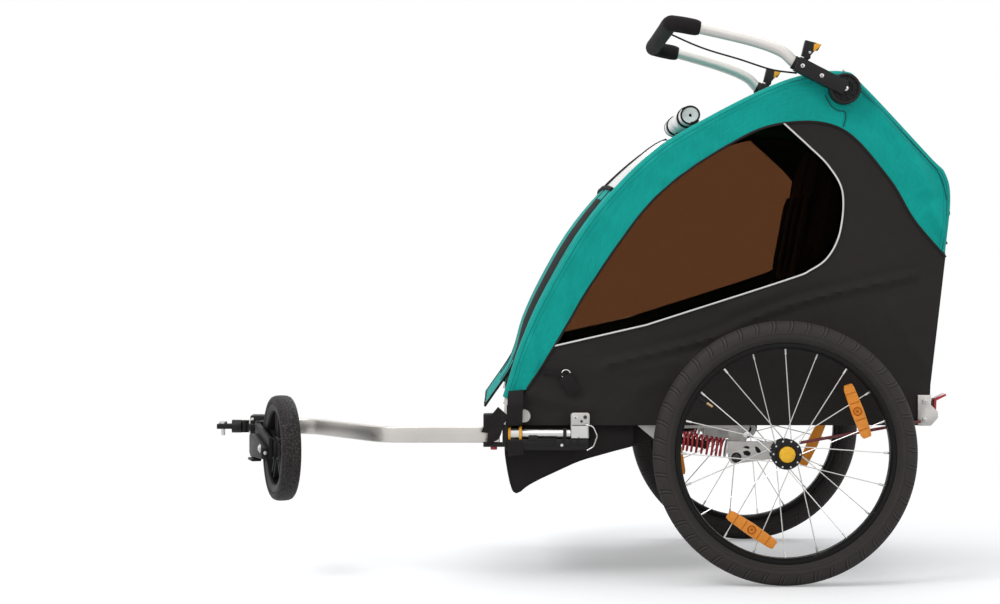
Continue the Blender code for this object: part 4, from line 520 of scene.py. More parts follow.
def cover_rows(stations):
    """The cover's rows of points across its left half, from the seam to the roof's middle."""
    rows = []
    for i in stations:
        foot = along_line(seam, fellows[i] * STEPS)
        crown = arch[i]
        before, after = arch[max(i - 1, 0)], arch[min(i + 1, len(arch) - 1)]
        way = (after - before).normalized()
        inward = Vector((way.y, -way.x))
        rise = crown - foot
        row = []
        for j in range(13):
            share = j / 12
            spot = foot + rise * share
            left = (crown - spot).length
            bend = max(0.0, 1 - left / CORNER_RADIUS)
            lift = sum(
                height * math.exp(-((near_line(spot, a, b)[0] / width) ** 2)) for a, b, height, width in folds
            )
            lift *= 3.0 * min(1.0, share * 5, (1 - share) * 4)
            sag = 0.0035 * math.sin(math.pi * share) * min(1.0, rise.length / 0.06)
            row.append((spot, -BODY_HALF_WIDTH - lift + sag * 0.6, share, bend))
        side = [Vector((spot.x, y, spot.y)) for spot, y, share, bend in row[:-1]]
        curl = []
        for step in range(4):
            turn = math.pi / 2 * (step + 0.5) / 4
            inset = CORNER_RADIUS * (1 - math.sin(turn))
            spot = crown + inward * min(inset, rise.length * 0.4)
            curl.append(Vector((spot.x, -BODY_HALF_WIDTH + CORNER_RADIUS * (1 - math.cos(turn)), spot.y)))
        side = [point for point in side if (Vector((point.x, point.z)) - crown).length > CORNER_RADIUS * 0.9]
        while len(side) < 12:
            side.append(side[-1].lerp(curl[0], 0.5) if side else curl[0] + Vector((0, 0, -0.001)))
        roof = []
        start = -BODY_HALF_WIDTH + CORNER_RADIUS
        for step in range(1, 4):
            y = start + (-COVER_HALF_WIDTH - start) * step / 3
            roof.append(Vector((crown.x, y, crown.y)))
        for step in range(1, 11):
            y = -COVER_HALF_WIDTH * (1 - step / 10)
            dip = 0.004 * math.cos(math.pi / 2 * y / COVER_HALF_WIDTH) * math.sin(math.pi * i / len(arch))
            spot = crown + inward * dip
            roof.append(Vector((spot.x, y, spot.y)))
        rows.append(side + curl + roof)
    return rows


def sheet_from(name, rows):
    """A grid of faces over rows of points, with a UV map in metres along and across."""
    count = len(rows[0])
    points = [point for row in rows for point in row]
    faces = []
    for i in range(len(rows) - 1):
        for j in range(count - 1):
            a = i * count + j
            faces.append((a, a + 1, a + count + 1, a + count))
    piece = new_mesh(name, points, (), faces)
    downs = [0.0]
    for a, b in zip(rows, rows[1:]):
        downs.append(downs[-1] + (b[count // 2] - a[count // 2]).length)
    spots = []
    for i, row in enumerate(rows):
        reach = 0.0
        for j, point in enumerate(row):
            reach += (point - row[j - 1]).length if j else 0.0
            spots.append((reach, downs[i]))
    layer = piece.data.uv_layers.new(name="cut")
    for loop in piece.data.loops:
        layer.data[loop.index].uv = spots[loop.vertex_index]
    return piece


def sewn(piece, thickness, smooth_levels=0):
    """Gives a sheet its thickness and a smooth surface."""
    only(piece)
    if smooth_levels:
        soft = piece.modifiers.new("soft", "SUBSURF")
        soft.levels = smooth_levels
        soft.render_levels = smooth_levels
        bpy.ops.object.modifier_apply(modifier="soft")
    area = sum(face.area for face in piece.data.polygons)
    wall = piece.modifiers.new("wall", "SOLIDIFY")
    wall.thickness = thickness
    wall.offset = 0.0
    bpy.ops.object.modifier_apply(modifier="wall")
    bpy.ops.object.shade_smooth_by_angle(angle=math.radians(50))
    return area


teal = cloth("teal_polyester", (0.0, 0.352, 0.300), crease=1.0)
u, v, w = teal.parts("UV")
edge = teal.out(teal.node("Attribute", {"attribute_name": "edge"}), "Fac")
run = teal.out(teal.node("Attribute", {"attribute_name": "run"}), "Fac")
thread = (0.0, 0.10, 0.09)
stitched(teal, edge - 0.0085, run, 0.0045, thread, 0.0010)
stitched(teal, edge - 0.0150, run, 0.0035, (0.0, 0.21, 0.19))


def mark_edges(piece, lines):
    """Stores how far each point is from the nearest of some side-view lines, and how far along."""
    distance = piece.data.attributes.new("edge", "FLOAT", "POINT")
    reach = piece.data.attributes.new("run", "FLOAT", "POINT")
    lengths = []
    for line in lines:
        total = 0.0
        for a, b in zip(line, line[1:]):
            lengths.append((a, b, total))
            total += (b - a).length
    for vert in piece.data.vertices:
        spot = Vector((vert.co.x, vert.co.z))
        best = min(
            ((near_line(spot, a, b), a, b, total) for a, b, total in lengths),
            key=lambda found: found[0][0]
        )
        (gap, share), a, b, total = best
        distance.data[vert.index].value = gap
        reach.data[vert.index].value = total + (b - a).length * share


ROLL_STATION = 9 * STEPS // 2
last = len(arch) - 1
half_rows = cover_rows(range(0, last + 1))
rows = [row + [Vector((p.x, -p.y, p.z)) for p in row[-2::-1]] for row in half_rows]
canopy = sheet_from("cover_sheet", rows)
cage_mesh = bmesh.new()
cage_mesh.from_mesh(canopy.data)
mouth = []
for face in cage_mesh.faces:
    middle = face.calc_center_median()
    row_at = min(loop.vert.index // len(rows[0]) for loop in face.loops)
    if abs(middle.y) < COVER_HALF_WIDTH and row_at < ROLL_STATION:
        mouth.append(face)
bmesh.ops.delete(cage_mesh, geom=mouth, context="FACES")
bmesh.ops.remove_doubles(cage_mesh, verts=cage_mesh.verts, dist=1e-6)
bmesh.ops.recalc_face_normals(cage_mesh, faces=cage_mesh.faces)
cage_mesh.to_mesh(canopy.data)
cage_mesh.free()
mark_edges(canopy, [arch])
area = sewn(canopy, 0.0012, 1)
dress(canopy, teal, "cage", "canopy")
# Dark teal wires on the flap and back seams: the seams themselves, darkened as painted seam shadow. The cover
# hooks share this dark teal.
seam_shadow_and_hook_teal = Finish("teal_seam_shadow", (0.0, 0.065, 0.06), 0.85)
seam_shadow_and_hook_teal.paint(
    seam_shadow_and_hook_teal.mixed(seam_shadow_and_hook_teal.grain(0.003, 2), seam_shadow_and_hook_teal.tint(0.6), seam_shadow_and_hook_teal.tint(1.5))
)
FLAP = [
    (0.4740, 0.9310), (0.4860, 0.9105), (0.5000, 0.9015), (0.5125, 0.8990), (0.5135, 0.8850),
    (0.5090, 0.8700)
]
BACK_SEAM = [
    (0.5390, 0.9410), (0.5465, 0.9370), (0.6060, 0.8760), (0.6680, 0.8110), (0.6960, 0.7750),
    (0.7080, 0.7300)
]
for word, side in (("left", -1), ("right", 1)):
    for kind, line, radius in (("flap", FLAP, 0.0009), ("back", BACK_SEAM, 0.0008)):
        at = [(x, side * (BODY_HALF_WIDTH + 0.0012), z) for x, z in (spot[:] for spot in smooth(line, 5))]
        dress(wire(f"{kind}_seam_{word}", at, radius, 2), seam_shadow_and_hook_teal, "cage")


# Side panels: black polyester sewn to the cover's bands along a bound seam. A seam's welt runs
# across each, and the cloth draws in soft creases towards its lower corners.

black = cloth("black_polyester", (0.0125, 0.0092, 0.0086), sheen=0.0, kind="Object", gloss=0.3, crease=1.0)
BODY_BOTTOM = 0.2975
REAR_X = 0.67415
piping = smooth([on_body(share) for share in PIPING], STEPS)
WELT = [
    (0.05615, 0.415), (0.24815, 0.463), (0.33015, 0.50), (0.43915, 0.538), (0.59515, 0.5745),
    (0.64615, 0.586)
]
welt = smooth([Vector(at) for at in WELT], 8)
outline = [Vector((-0.13585, BODY_BOTTOM))]
outline += seam[: STEPS + 1] + piping[::-1] + seam[5 * STEPS :]
outline += [Vector((0.67715, 0.375)), Vector((REAR_X, BODY_BOTTOM))]
CREASES = [
    ((0.04, 0.405), (0.26, 0.425), 0.0016, 0.014), ((-0.10, 0.36), (0.02, 0.33), 0.0018, 0.012),
    ((0.12, 0.37), (0.33, 0.44), 0.0014, 0.018), ((0.66, 0.42), (0.60, 0.52), 0.0016, 0.014),
    ((0.30, 0.52), (0.44, 0.60), 0.0012, 0.02), ((0.655, 0.58), (0.665, 0.40), 0.0014, 0.010),
]
creases = [(Vector(a), Vector(b), height, width) for a, b, height, width in CREASES]


def side_cloth(name, border, side, shape, cell=0.008):
    """A flat sheet inside a side-view border, cut into cells and pushed out by a shape."""
    piece = new_mesh(
        name, [(at.x, side * (BODY_HALF_WIDTH - 0.0022), at.y) for at in border], (), [range(len(border))]
    )
    cage = bmesh.new()
    cage.from_mesh(piece.data)
    low = Vector((min(at.x for at in border), min(at.y for at in border)))
    high = Vector((max(at.x for at in border), max(at.y for at in border)))
    for axis, start, stop in (((1, 0, 0), low.x, high.x), ((0, 0, 1), low.y, high.y)):
        for i in range(1, int((stop - start) / cell)):
            at = Vector(axis) * (start + i * cell)
            everything = cage.verts[:] + cage.edges[:] + cage.faces[:]
            bmesh.ops.bisect_plane(cage, geom=everything, plane_co=at, plane_no=axis, dist=1e-6)
    bmesh.ops.triangulate(cage, faces=[face for face in cage.faces if len(face.verts) > 4])
    for vert in cage.verts:
        spot = Vector((vert.co.x, vert.co.z))
        vert.co.y += side * shape(spot)
    if side * sum(face.normal.y * face.calc_area() for face in cage.faces) < 0:
        bmesh.ops.reverse_faces(cage, faces=cage.faces)
    cage.to_mesh(piece.data)
    cage.free()
    return piece


def panel_push(spot):
    """How far a side panel stands out at a spot."""
    edge = min(near_line(spot, a, b)[0] for a, b in zip(outline, outline[1:] + outline[:1]))
    on_welt = min(near_line(spot, a, b)[0] for a, b in zip(welt, welt[1:]))
    ridge = 0.0052 * math.exp(-((on_welt / 0.006) ** 2)) - 0.0020 * math.exp(
        -(((on_welt - 0.013) / 0.007) ** 2)
    )
    pulls = sum(
        height * math.exp(-((near_line(spot, a, b)[0] / width) ** 2)) for a, b, height, width in creases
    )
    ripple = 0.0012 * noise.noise(Vector((spot.x * 9, spot.y * 13, 0.3)))
    return (ridge + pulls * 2.4 + ripple * 1.6) * min(1.0, edge / 0.012)


for word, side in (("left", -1), ("right", 1)):
    panel = side_cloth(f"side_panel_cloth_{word}", outline, side, panel_push)
    area = sewn(panel, 0.0012)
    dress(panel, black, None, f"side_panel_{word}")
    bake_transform(panel)


# Side windows: brown tinted vinyl film, glossy and clear, sewn in under the cover's band and
# edged below and behind with thin white piping.

film = Finish(
    "tinted_film", (0.30, 0.185, 0.115), 0.03, Transmission_Weight=1.0, IOR=1.05, Specular_IOR_Level=0.3
)
film.raise_by(film.grain(0.11, 1), 0.003, 0.12)
white_piping = Finish("white_piping", (0.78, 0.76, 0.73), 0.55)
white_piping.raise_by(white_piping.parts()[0].sine(0.0018), 0.0002, 0.5)
white_piping.paint(
    white_piping.mixed(white_piping.grain(0.02, 3), white_piping.tint(0.86), white_piping.tint(1.1))
)
window_border = seam[STEPS : 5 * STEPS + 1] + piping[1:-1]
for word, side in (("left", -1), ("right", 1)):
    window = side_cloth(
        f"window_film_{word}", window_border, side,
        lambda spot: 0.0008 * noise.noise(Vector((spot.x * 5, spot.y * 5, 2))), 0.03
    )
    area = sewn(window, 0.0004)
    dress(window, film, None, f"side_window_{word}")
    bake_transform(window)
    line = [seam[5 * STEPS]] + piping + [piping[-1].lerp(seam[STEPS], i / 12) for i in range(1, 13)]
    line = [(at.x, side * (BODY_HALF_WIDTH + 0.0004), at.y) for at in line]
    edging = wire(f"window_piping_{word}", line, 0.0017)
    dress(edging, white_piping, None)
    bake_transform(edging)
    line = [(at.x, side * (BODY_HALF_WIDTH - 0.0006), at.y) for at in seam]
    binding = wire(f"seam_binding_{word}", line, 0.0026)
    dress(binding, black, "cage")


# Front cover: a teal panel that zips to the cover along both sides, bound in black round its
# edge, with a grey mesh strip by each zip and a clear vinyl patch at the top of each side.

COVER_TIP = Vector((-0.17885, 0.33388))
mouth_stations = arch[: ROLL_STATION + 1]
front_line = [
    COVER_TIP + (Vector((-0.1374, 0.3800)) - COVER_TIP) * i / 5 for i in range(5)
] + mouth_stations[4:]
front_line = smooth(front_line[::7] + [front_line[-1]], 4)
ACROSS = 26
front_rows = []
for i, at in enumerate(front_line):
    before, after = front_line[max(i - 1, 0)], front_line[min(i + 1, len(front_line) - 1)]
    way = (after - before).normalized()
    inward = Vector((way.y, -way.x))
    row = []
    for j in range(ACROSS + 1):
        share = 2 * j / ACROSS - 1
        crown = -0.0155 * (1 - share ** 4) * math.sin(
            math.pi * min(1, max(0, (i - 3) / (len(front_line) - 4)))
        ) ** 0.7
        ripple = 0.0016 * noise.noise(Vector((i * 0.22, share * 2.4, 4.1))) * (1 - abs(share) ** 6)
        spot = at + inward * (crown + 0.0016 + ripple)
        row.append(Vector((spot.x, share * (COVER_HALF_WIDTH - 0.001), spot.y)))
    front_rows.append(row)


def strip(name, rows, low, high, lift, thickness, finish, body, first=0, last=None):
    """A band cut from rows of points, between two columns, raised off them."""
    cut = [row[low : high + 1] for row in rows[first:last]]
    piece = sheet_from(name, cut)
    normals = [vert.normal.copy() for vert in piece.data.vertices]
    for vert, normal in zip(piece.data.vertices, normals):
        vert.co += normal * lift
    sewn(piece, thickness)
    return dress(piece, finish, body)


front = sheet_from("front_cover_cloth", front_rows)
mark_edges(front, [front_line])
area = sewn(front, 0.0012)
teal_flat = cloth("teal_front_polyester", (0.0, 0.345, 0.305))
dress(front, teal_flat, "front_cover", "front_cover")

mesh_cloth = cloth("grey_mesh", (0.0125, 0.0110, 0.0108), pitch=0.0022, sheen=0.0, gloss=0.08)
vinyl = Finish("clear_vinyl", (0.78, 0.76, 0.745), 0.25, Coat_Weight=0.2)
vinyl.paint(vinyl.mixed(vinyl.grain(0.05, 3), vinyl.tint(0.8), vinyl.tint(1.08)))
vinyl.raise_by(vinyl.grain(0.03, 2), 0.004, 0.4)
rows_count = len(front_rows)
patch = int(rows_count * 0.70)
for word, low, high, rim in (("left", 1, 5, 0), ("right", ACROSS - 5, ACROSS - 1, ACROSS)):
    strip(
        f"front_mesh_strip_{word}", front_rows, low, high, -0.0012, 0.0008, mesh_cloth, "front_cover",
        int(rows_count * 0.14), patch
    )
    strip(
        f"front_clear_patch_{word}", front_rows, low - 1, high + 1, -0.0018, 0.0008, vinyl, "front_cover",
        patch, rows_count - 2
    )
    inner = 6 if rim == 0 else ACROSS - 6
    trim = wire(f"front_window_binding_{word}", [row[inner] for row in front_rows[patch:-1]], 0.0046)
    dress(trim, webbing, "front_cover")
    trim = wire(f"front_cover_binding_{word}", [row[rim] for row in front_rows], 0.0024)
    dress(trim, webbing, "front_cover")
for word, at in (
    ("left_outer", 5), ("left_inner", 1), ("right_inner", ACROSS - 1), ("right_outer", ACROSS - 5)
):
    tape = wire(
        f"front_zip_tape_{word}", [row[at] for row in front_rows[int(rows_count * 0.10) : patch + 1]],
        0.0018, 2
    )
    dress(tape, webbing, "front_cover")
cross_line = [point + Vector((-0.0012, 0, 0.0012)) for point in front_rows[patch]]
dress(wire("front_cover_cross_binding", cross_line, 0.0048), webbing, "front_cover")
dress(wire("front_cover_hem", front_rows[0], 0.0026), webbing, "front_cover")
mouth_top = [
    point + Vector((0.0004, 0, 0.0006)) for point in rows[ROLL_STATION]
    if abs(point.y) < COVER_HALF_WIDTH + 0.002
]
dress(wire("front_cover_hinge_binding", mouth_top, 0.0034), webbing, "cage")


# Rolled rain cover: clear vinyl with a black binding, rolled up at the top of the front opening
# and held by two black straps.

ROLL_AT = Vector((0.22337, 0.89839))
ROLL_RADIUS = 0.021
ROLL_HALF_LENGTH = 0.215
clear = Finish("rolled_vinyl", (0.80, 0.78, 0.765), 0.3, Coat_Weight=0.2)
clear.paint(
    clear.mixed(
        clear.step(clear.grain(0.03, 4, stretch=(1, 0.3, 1)), 0.3, 0.6), (0.62, 0.60, 0.58),
        clear.tint(1.12)
    )
)
clear.raise_by(clear.grain(0.022, 3, stretch=(1, 0.25, 1)), 0.004, 0.5)
roll_rows = []
TURNS = 7
for j in range(41):
    y = -ROLL_HALF_LENGTH + 2 * ROLL_HALF_LENGTH * j / 40
    pinch = 1 - 0.12 * math.exp(-(((abs(y) - 0.14) / 0.014) ** 2)) + 0.03 * math.sin(y * 61)
    row = []
    for i in range(141):
        turn = 2 * math.pi * TURNS * i / 140 - 0.6
        reach = (0.0032 + (ROLL_RADIUS - 0.0045) * i / 140) * pinch
        row.append(Vector((ROLL_AT.x + reach * math.cos(turn), y, ROLL_AT.y + reach * math.sin(turn) * 0.94)))
    roll_rows.append(row)
roll = sheet_from("rain_cover_roll", roll_rows)
area = sewn(roll, 0.0021)
dress(roll, clear, "cage", "rolled_rain_cover")
for j, word in ((0, "left"), (40, "right")):
    dress(wire(f"roll_binding_{word}", roll_rows[j][-24:], 0.0019, 2), webbing, "cage")


def moulded(name, colour, roughness=0.5):
    plastic = Finish(name, colour, roughness, Specular_IOR_Level=0.25)
    fine = plastic.grain(0.0009, 1)
    flow = plastic.grain(0.03, 3)
    plastic.paint(plastic.mixed(flow, plastic.tint(0.8), plastic.tint(1.3)))
    plastic.rough(roughness - 0.08 + flow * 0.18)
    plastic.raise_by(fine, 0.00022, 0.5)
    return plastic


black_plastic = moulded("black_nylon", (0.0085, 0.0075, 0.0075), 0.45)


def block(name, middle, size, turn=0.0, bevel=0.0008):
    """A rounded block, turned in side view about its middle."""
    bpy.ops.object.select_all(action="DESELECT")
    bpy.ops.mesh.primitive_cube_add(size=1, location=middle, rotation=(0, turn, 0), scale=size)
    piece = bpy.context.object
    piece.name = name
    bpy.ops.object.transform_apply(location=True, rotation=True, scale=True)
    round_off = piece.modifiers.new("edges", "BEVEL")
    round_off.width = bevel
    round_off.segments = 2
    bpy.ops.object.modifier_apply(modifier="edges")
    bpy.ops.object.shade_smooth_by_angle(angle=math.radians(35))
    return piece


def band_round(name, middle, radius, y, width, thickness, finish, body, start=0.0, turn=360.0):
    """A flat strap round a circle in side view."""
    rows = []
    for step in range(37):
        angle = math.radians(start + turn * step / 36)
        rows.append([
            Vector(
                (
                    middle.x + radius * math.cos(angle), y + width * (share - 0.5),
                    middle.y + radius * math.sin(angle)
                )
            )
            for share in (0, 0.12, 0.88, 1)
        ])
    piece = sheet_from(name, rows)
    sewn(piece, thickness)
    return dress(piece, finish, body)


for word, y in (("left", -0.14), ("right", 0.14)):
    band_round(
        f"roll_strap_{word}", ROLL_AT, ROLL_RADIUS - 0.0010, y, 0.025, 0.0022, webbing, "cage", 20, 350
    )


# Handlebar: a bent anodised tube with a closed-cell foam grip, held in two black moulded arms
# that turn on ribbed hubs. An amber trigger on each arm frees it.


amber = moulded("amber_nylon", (0.80, 0.36, 0.03), 0.38)
steel = brushed("zinc_steel", (0.70, 0.69, 0.67), 0.3, (1, 1, 1))
HANDLE_PATH = [
    (0.44769, -0.3171, 0.97411), (0.41481, -0.3171, 0.99108), (0.38881, -0.31022, 1.01408),
    (0.33381, -0.29566, 1.03608), (0.23689, -0.27, 1.062),
]
CORNER_PATH = [(0.20777, -0.27, 1.06772), (0.18876, -0.26198, 1.07145), (0.18089, -0.24261, 1.073)]
near_half = smooth(HANDLE_PATH + CORNER_PATH + [(0.18089, -0.12, 1.073)], 6)
whole = near_half + [Vector((p.x, -p.y, p.z)) for p in near_half[::-1]]
dress(wire("handlebar_bent_tube", whole, 0.011, 6), anodised, "handlebar", "handlebar_tube")

foam = Finish("grip_foam", (0.0090, 0.0075, 0.0072), 0.9, Specular_IOR_Level=0.2)
cells = foam.out(foam.node("TexVoronoi", Vector=foam.place(), Scale=1 / 0.0016), "Distance")
foam.paint(foam.mixed(foam.grain(0.02, 3), foam.tint(0.7), foam.tint(1.9)))
foam.raise_by(cells, 0.0004, 0.6)
foam.raise_by(foam.grain(0.012, 2), 0.0012, 0.4)
leg = smooth([HANDLE_PATH[-1], CORNER_PATH[0], CORNER_PATH[1], CORNER_PATH[2], (0.18089, -0.12, 1.073)], 6)
grip_line = leg + [Vector((p.x, -p.y, p.z)) for p in leg[::-1]]
radii = [1.0] * len(grip_line)
for i, radius in enumerate((0.80, 0.93, 0.985)):
    radii[i] = radii[-1 - i] = radius
grip = wire("foam_grip", grip_line, 0.016, 7, radii=radii)
dress(grip, foam, "handlebar", "handlebar_grip")

HUB = Vector((0.50989, 0.942))
ARM_WAY = Vector((-math.cos(math.radians(27.3)), math.sin(math.radians(27.3))))
ARM_FACE = 0.3041


def turned(name, profile, at, plane, steps=96, ring=True, out=-1):
    """A round piece about Y from a profile of (radius, distance outwards)."""
    points = [(at[0] + radius, plane + out * reach, at[1]) for radius, reach in profile]
    edges = [(i, i + 1) for i in range(len(points) - 1)] + ([(len(points) - 1, 0)] if ring else [])
    piece = new_mesh(name, points, edges)
    only(piece)
    bpy.ops.object.mode_set(mode="EDIT")
    bpy.ops.mesh.select_all(action="SELECT")
    bpy.ops.mesh.spin(steps=steps, angle=2 * math.pi, center=(at[0], plane, at[1]), axis=(0, 1, 0))
    bpy.ops.mesh.select_all(action="SELECT")
    bpy.ops.mesh.remove_doubles(threshold=1e-5)
    bpy.ops.mesh.normals_make_consistent(inside=False)
    bpy.ops.object.mode_set(mode="OBJECT")
    bpy.ops.object.shade_smooth_by_angle(angle=math.radians(30))
    return piece


def ring_at(name, at, plane, outer, inner, depth, side=-1):
    """A flat ring about Y that stands on a plane."""
    lip = min(depth, outer - inner) * 0.3
    profile = [
        (inner, 0), (outer, 0), (outer, depth - lip), (outer - lip, depth), (inner + lip, depth),
        (inner, depth - lip)
    ]
    return turned(name, profile, at, plane, 48, out=side)


def disc(name, at, plane, radius, depth, facets=32, bevel=0.0006):
    """A round piece about Y, its rim rounded, from a plane outwards by a depth."""
    bpy.ops.object.select_all(action="DESELECT")
    bpy.ops.mesh.primitive_cylinder_add(
        vertices=facets, radius=radius, depth=abs(depth), location=(at[0], plane + depth / 2, at[1]),
        rotation=(math.pi / 2, 0, 0),
    )
    piece = bpy.context.object
    piece.name = name
    bpy.ops.object.transform_apply(location=True, rotation=True, scale=True)
    round_off = piece.modifiers.new("edges", "BEVEL")
    round_off.width = bevel
    round_off.segments = 2
    round_off.limit_method = "ANGLE"
    bpy.ops.object.modifier_apply(modifier="edges")
    bpy.ops.object.shade_smooth_by_angle(angle=math.radians(35))
    return piece


def slab(name, outline, plane, depth, bevel=0.0008):
    """A flat piece with a side-view outline, from a plane outwards by a depth, its edges rounded."""
    count = len(outline)
    points = [(at[0], y, at[1]) for y in (plane, plane + depth) for at in outline]
    faces = [list(range(count)), list(range(2 * count - 1, count - 1, -1))]
    faces += [(i, i + count, (i + 1) % count + count, (i + 1) % count) for i in range(count)]
    piece = new_mesh(name, points, (), faces)
    only(piece)
    bpy.ops.object.mode_set(mode="EDIT")
    bpy.ops.mesh.select_all(action="SELECT")
    bpy.ops.mesh.normals_make_consistent(inside=False)
    bpy.ops.object.mode_set(mode="OBJECT")
    round_off = piece.modifiers.new("edges", "BEVEL")
    round_off.width = bevel
    round_off.segments = 2
    round_off.limit_method = "ANGLE"
    bpy.ops.object.modifier_apply(modifier="edges")
    bpy.ops.object.shade_smooth_by_angle(angle=math.radians(35))
    return piece


def joined(name, pieces):
    """Several meshes as one piece."""
    only(*pieces)
    bpy.ops.object.join()
    pieces[0].name = name
    return pieces[0]


def screw(name, at, plane, side, radius, body, finish=None):
    """A pan-head screw with a cross in it, standing on a face."""
    head = disc(name, at, plane, radius, side * 0.0022, 20, 0.0008)
    arms = [
        block(
            name + "_slot", (at[0], plane + side * 0.0019, at[1]), (radius * 1.2, 0.0012, radius * 0.22),
            turn, 0.0001
        )
        for turn in (0.4, 0.4 + math.pi / 2)
    ]
    for slot in arms:
        dress(slot, black_paint, body)
    return dress(head, finish or steel, body)


for word, side in (("left", -1), ("right", 1)):
    refined(f"handlebar_arm_{word}", f"arm_casing_{word}", black_plastic, "handlebar", 0.0022, 3)
    refined(f"handle_hub_{word}", f"hub_plate_{word}", black_plastic, "cage", 0.0012, 2)
    refined(f"handle_release_{word}", f"release_lever_{word}", black_plastic, f"release_{word}", 0.0012, 2)
    face = side * (ARM_FACE + 0.018)
    ring = ring_at(f"hub_ring_{word}", HUB, face, 0.0296, 0.0240, 0.0040, side)
    middle_ring = ring_at("hub_ring", HUB, face, 0.0165, 0.0140, 0.0034, side)
    ribs = [ring, middle_ring, disc(f"hub_boss_{word}", HUB, face, 0.0085, side * 0.0045, 28, 0.0008)]
    for i in range(10):
        angle = math.pi * 2 * i / 10
        middle = HUB + Vector((math.cos(angle), math.sin(angle))) * 0.017
        ribs.append(
            block("rib", (middle.x, face + side * 0.0012, middle.y), (0.0150, 0.0040, 0.0020), -angle, 0.0004)
        )
    dress(joined(f"hub_ribs_{word}", ribs), black_plastic, "handlebar")
    screw(f"hub_bolt_{word}", HUB, face + side * 0.0045, side, 0.0050, "handlebar")
    arm_out = side * (ARM_FACE + 0.026)
    for i, reach in enumerate((0.052, 0.093)):
        at = HUB + ARM_WAY * reach
        screw(f"arm_screw_{word}_{i}", at, arm_out, side, 0.0042, "handlebar")
    trigger = [
        (0.4505, 1.0120), (0.4625, 1.0225), (0.4640, 1.0255), (0.4540, 1.0285), (0.4490, 1.0270),
        (0.4475, 1.0130)
    ]
    tongue = slab(f"release_trigger_{word}", trigger, side * 0.3080, side * 0.0182, 0.0010)
    dress(tongue, amber, f"release_{word}")
    screw(f"release_screw_{word}", (0.4415, 1.0105), side * 0.3250, side, 0.0026, f"release_{word}")
    socket = HUB + ARM_WAY * 0.1045
    collar = wire(
        f"arm_collar_{word}",
        [
            (socket.x, side * 0.3171, socket.y),
            (socket.x + ARM_WAY.x * 0.007, side * 0.3171, socket.y + ARM_WAY.y * 0.007)
        ],
        0.0134, 6
    )
    dress(collar, black_plastic, "handlebar")


# Wheels: 20 inch, with a black box rim, twenty steel spokes laced to a black hub, and a smooth
# centred tyre with paired sipes on its shoulders. A yellow cap in the hub frees the axle pin.

AXLE = Vector((0.38915, 0.250))
WHEEL_PLANE = -0.37
TREAD_PAIRS = 46
SPOKES = 20


tyre_rubber = Finish("tyre_rubber", (0.021, 0.0172, 0.0160), 0.72, Specular_IOR_Level=0.35)
x, y, z = tyre_rubber.parts()
across, up = x - AXLE.x, z - AXLE.y
reach = x.math("SQRT", across * across + up * up)
turn = x.math("ARCTAN2", up, across) * (TREAD_PAIRS / (2 * math.pi))
side_reach = y.size() + WHEEL_PLANE
lean = reach - 0.2265
slant = turn + lean * 22 - lean * lean * 600
shoulder = tyre_rubber.step(reach, 0.2275, 0.2300) * tyre_rubber.step(side_reach.size(), 0.0016, 0.0030)
# The sipes are painted near black as painted shade in the cuts, and a lighter line beside each is a painted
# highlight on its lip.
shaded_sipes = tyre_rubber.line(slant.repeat(1.0), 0.28, 0.033) + tyre_rubber.line(slant.repeat(1.0), 0.50, 0.026)
lip_highlights = tyre_rubber.line(slant.repeat(1.0), 0.335, 0.026) + tyre_rubber.line(slant.repeat(1.0), 0.545, 0.020)
shaded_sipes = shaded_sipes * shoulder
rings = (
    tyre_rubber.line(reach, 0.2262, 0.0008) + tyre_rubber.line(reach, 0.2175, 0.0010)
    + tyre_rubber.line(reach, 0.2135, 0.0007)
)
dust = tyre_rubber.grain(0.02, 4)
dust_and_lip_highlights = tyre_rubber.mixed(dust, tyre_rubber.tint(0.75), tyre_rubber.tint(1.6))
dust_and_lip_highlights = tyre_rubber.mixed(lip_highlights * shoulder * 0.55, dust_and_lip_highlights, (0.085, 0.072, 0.068))
tyre_rubber.paint(tyre_rubber.mixed(shaded_sipes, dust_and_lip_highlights, (0.004, 0.0035, 0.003)))
tyre_rubber.rough(0.62 + dust * 0.2)
tyre_rubber.raise_by(tyre_rubber.grain(0.0012, 2), 0.0002, 0.4)
tyre_rubber.raise_by(1 - shaded_sipes, 0.0022, 0.9)
tyre_rubber.raise_by(rings, 0.0012, 1.0)

TYRE_HALF = [
    (0.2083, 0.0118), (0.2105, 0.0152), (0.216, 0.0198), (0.2235, 0.0219), (0.2305, 0.0219),
    (0.2370, 0.0204), (0.2420, 0.0176), (0.2460, 0.0135), (0.2485, 0.0085), (0.2497, 0.004), (0.25, 0),
]
RIM_HALF = [
    (0.2045, 0), (0.2050, 0.0108), (0.2078, 0.0122), (0.2080, 0.0138), (0.2065, 0.0143), (0.2010, 0.0140),
    (0.1975, 0.0095), (0.1968, 0)
]
HUB_PROFILE = [
    (0, 0.0215), (0.0163, 0.0215), (0.0163, 0.0330), (0.0175, 0.0340), (0.0196, 0.0336), (0.0206, 0.0268),
    (0.0284, 0.0256), (0.0290, 0.0240), (0.0290, 0.0204), (0.0270, 0.0190), (0.0160, 0.0160),
    (0.0150, 0.0145), (0.0150, -0.0145),
    (0.0160, -0.0160), (0.0256, -0.0190), (0.0270, -0.0198), (0.0270, -0.0242), (0.0258, -0.0252),
    (0.0130, -0.0460), (0.0120, -0.0470), (0.0060, -0.0470), (0.0060, -0.0912), (0.0050, -0.0928),
    (0, -0.0928),
]
CAP_PROFILE = [
    (0, 0.0372), (0.0048, 0.0372), (0.0054, 0.0380), (0.0072, 0.0380), (0.0078, 0.0372), (0.0118, 0.0368),
    (0.0146, 0.0352), (0.0156, 0.0322), (0.0156, 0.0268), (0, 0.0268),
]
yellow = moulded("yellow_nylon", (0.86, 0.45, 0.03), 0.35)
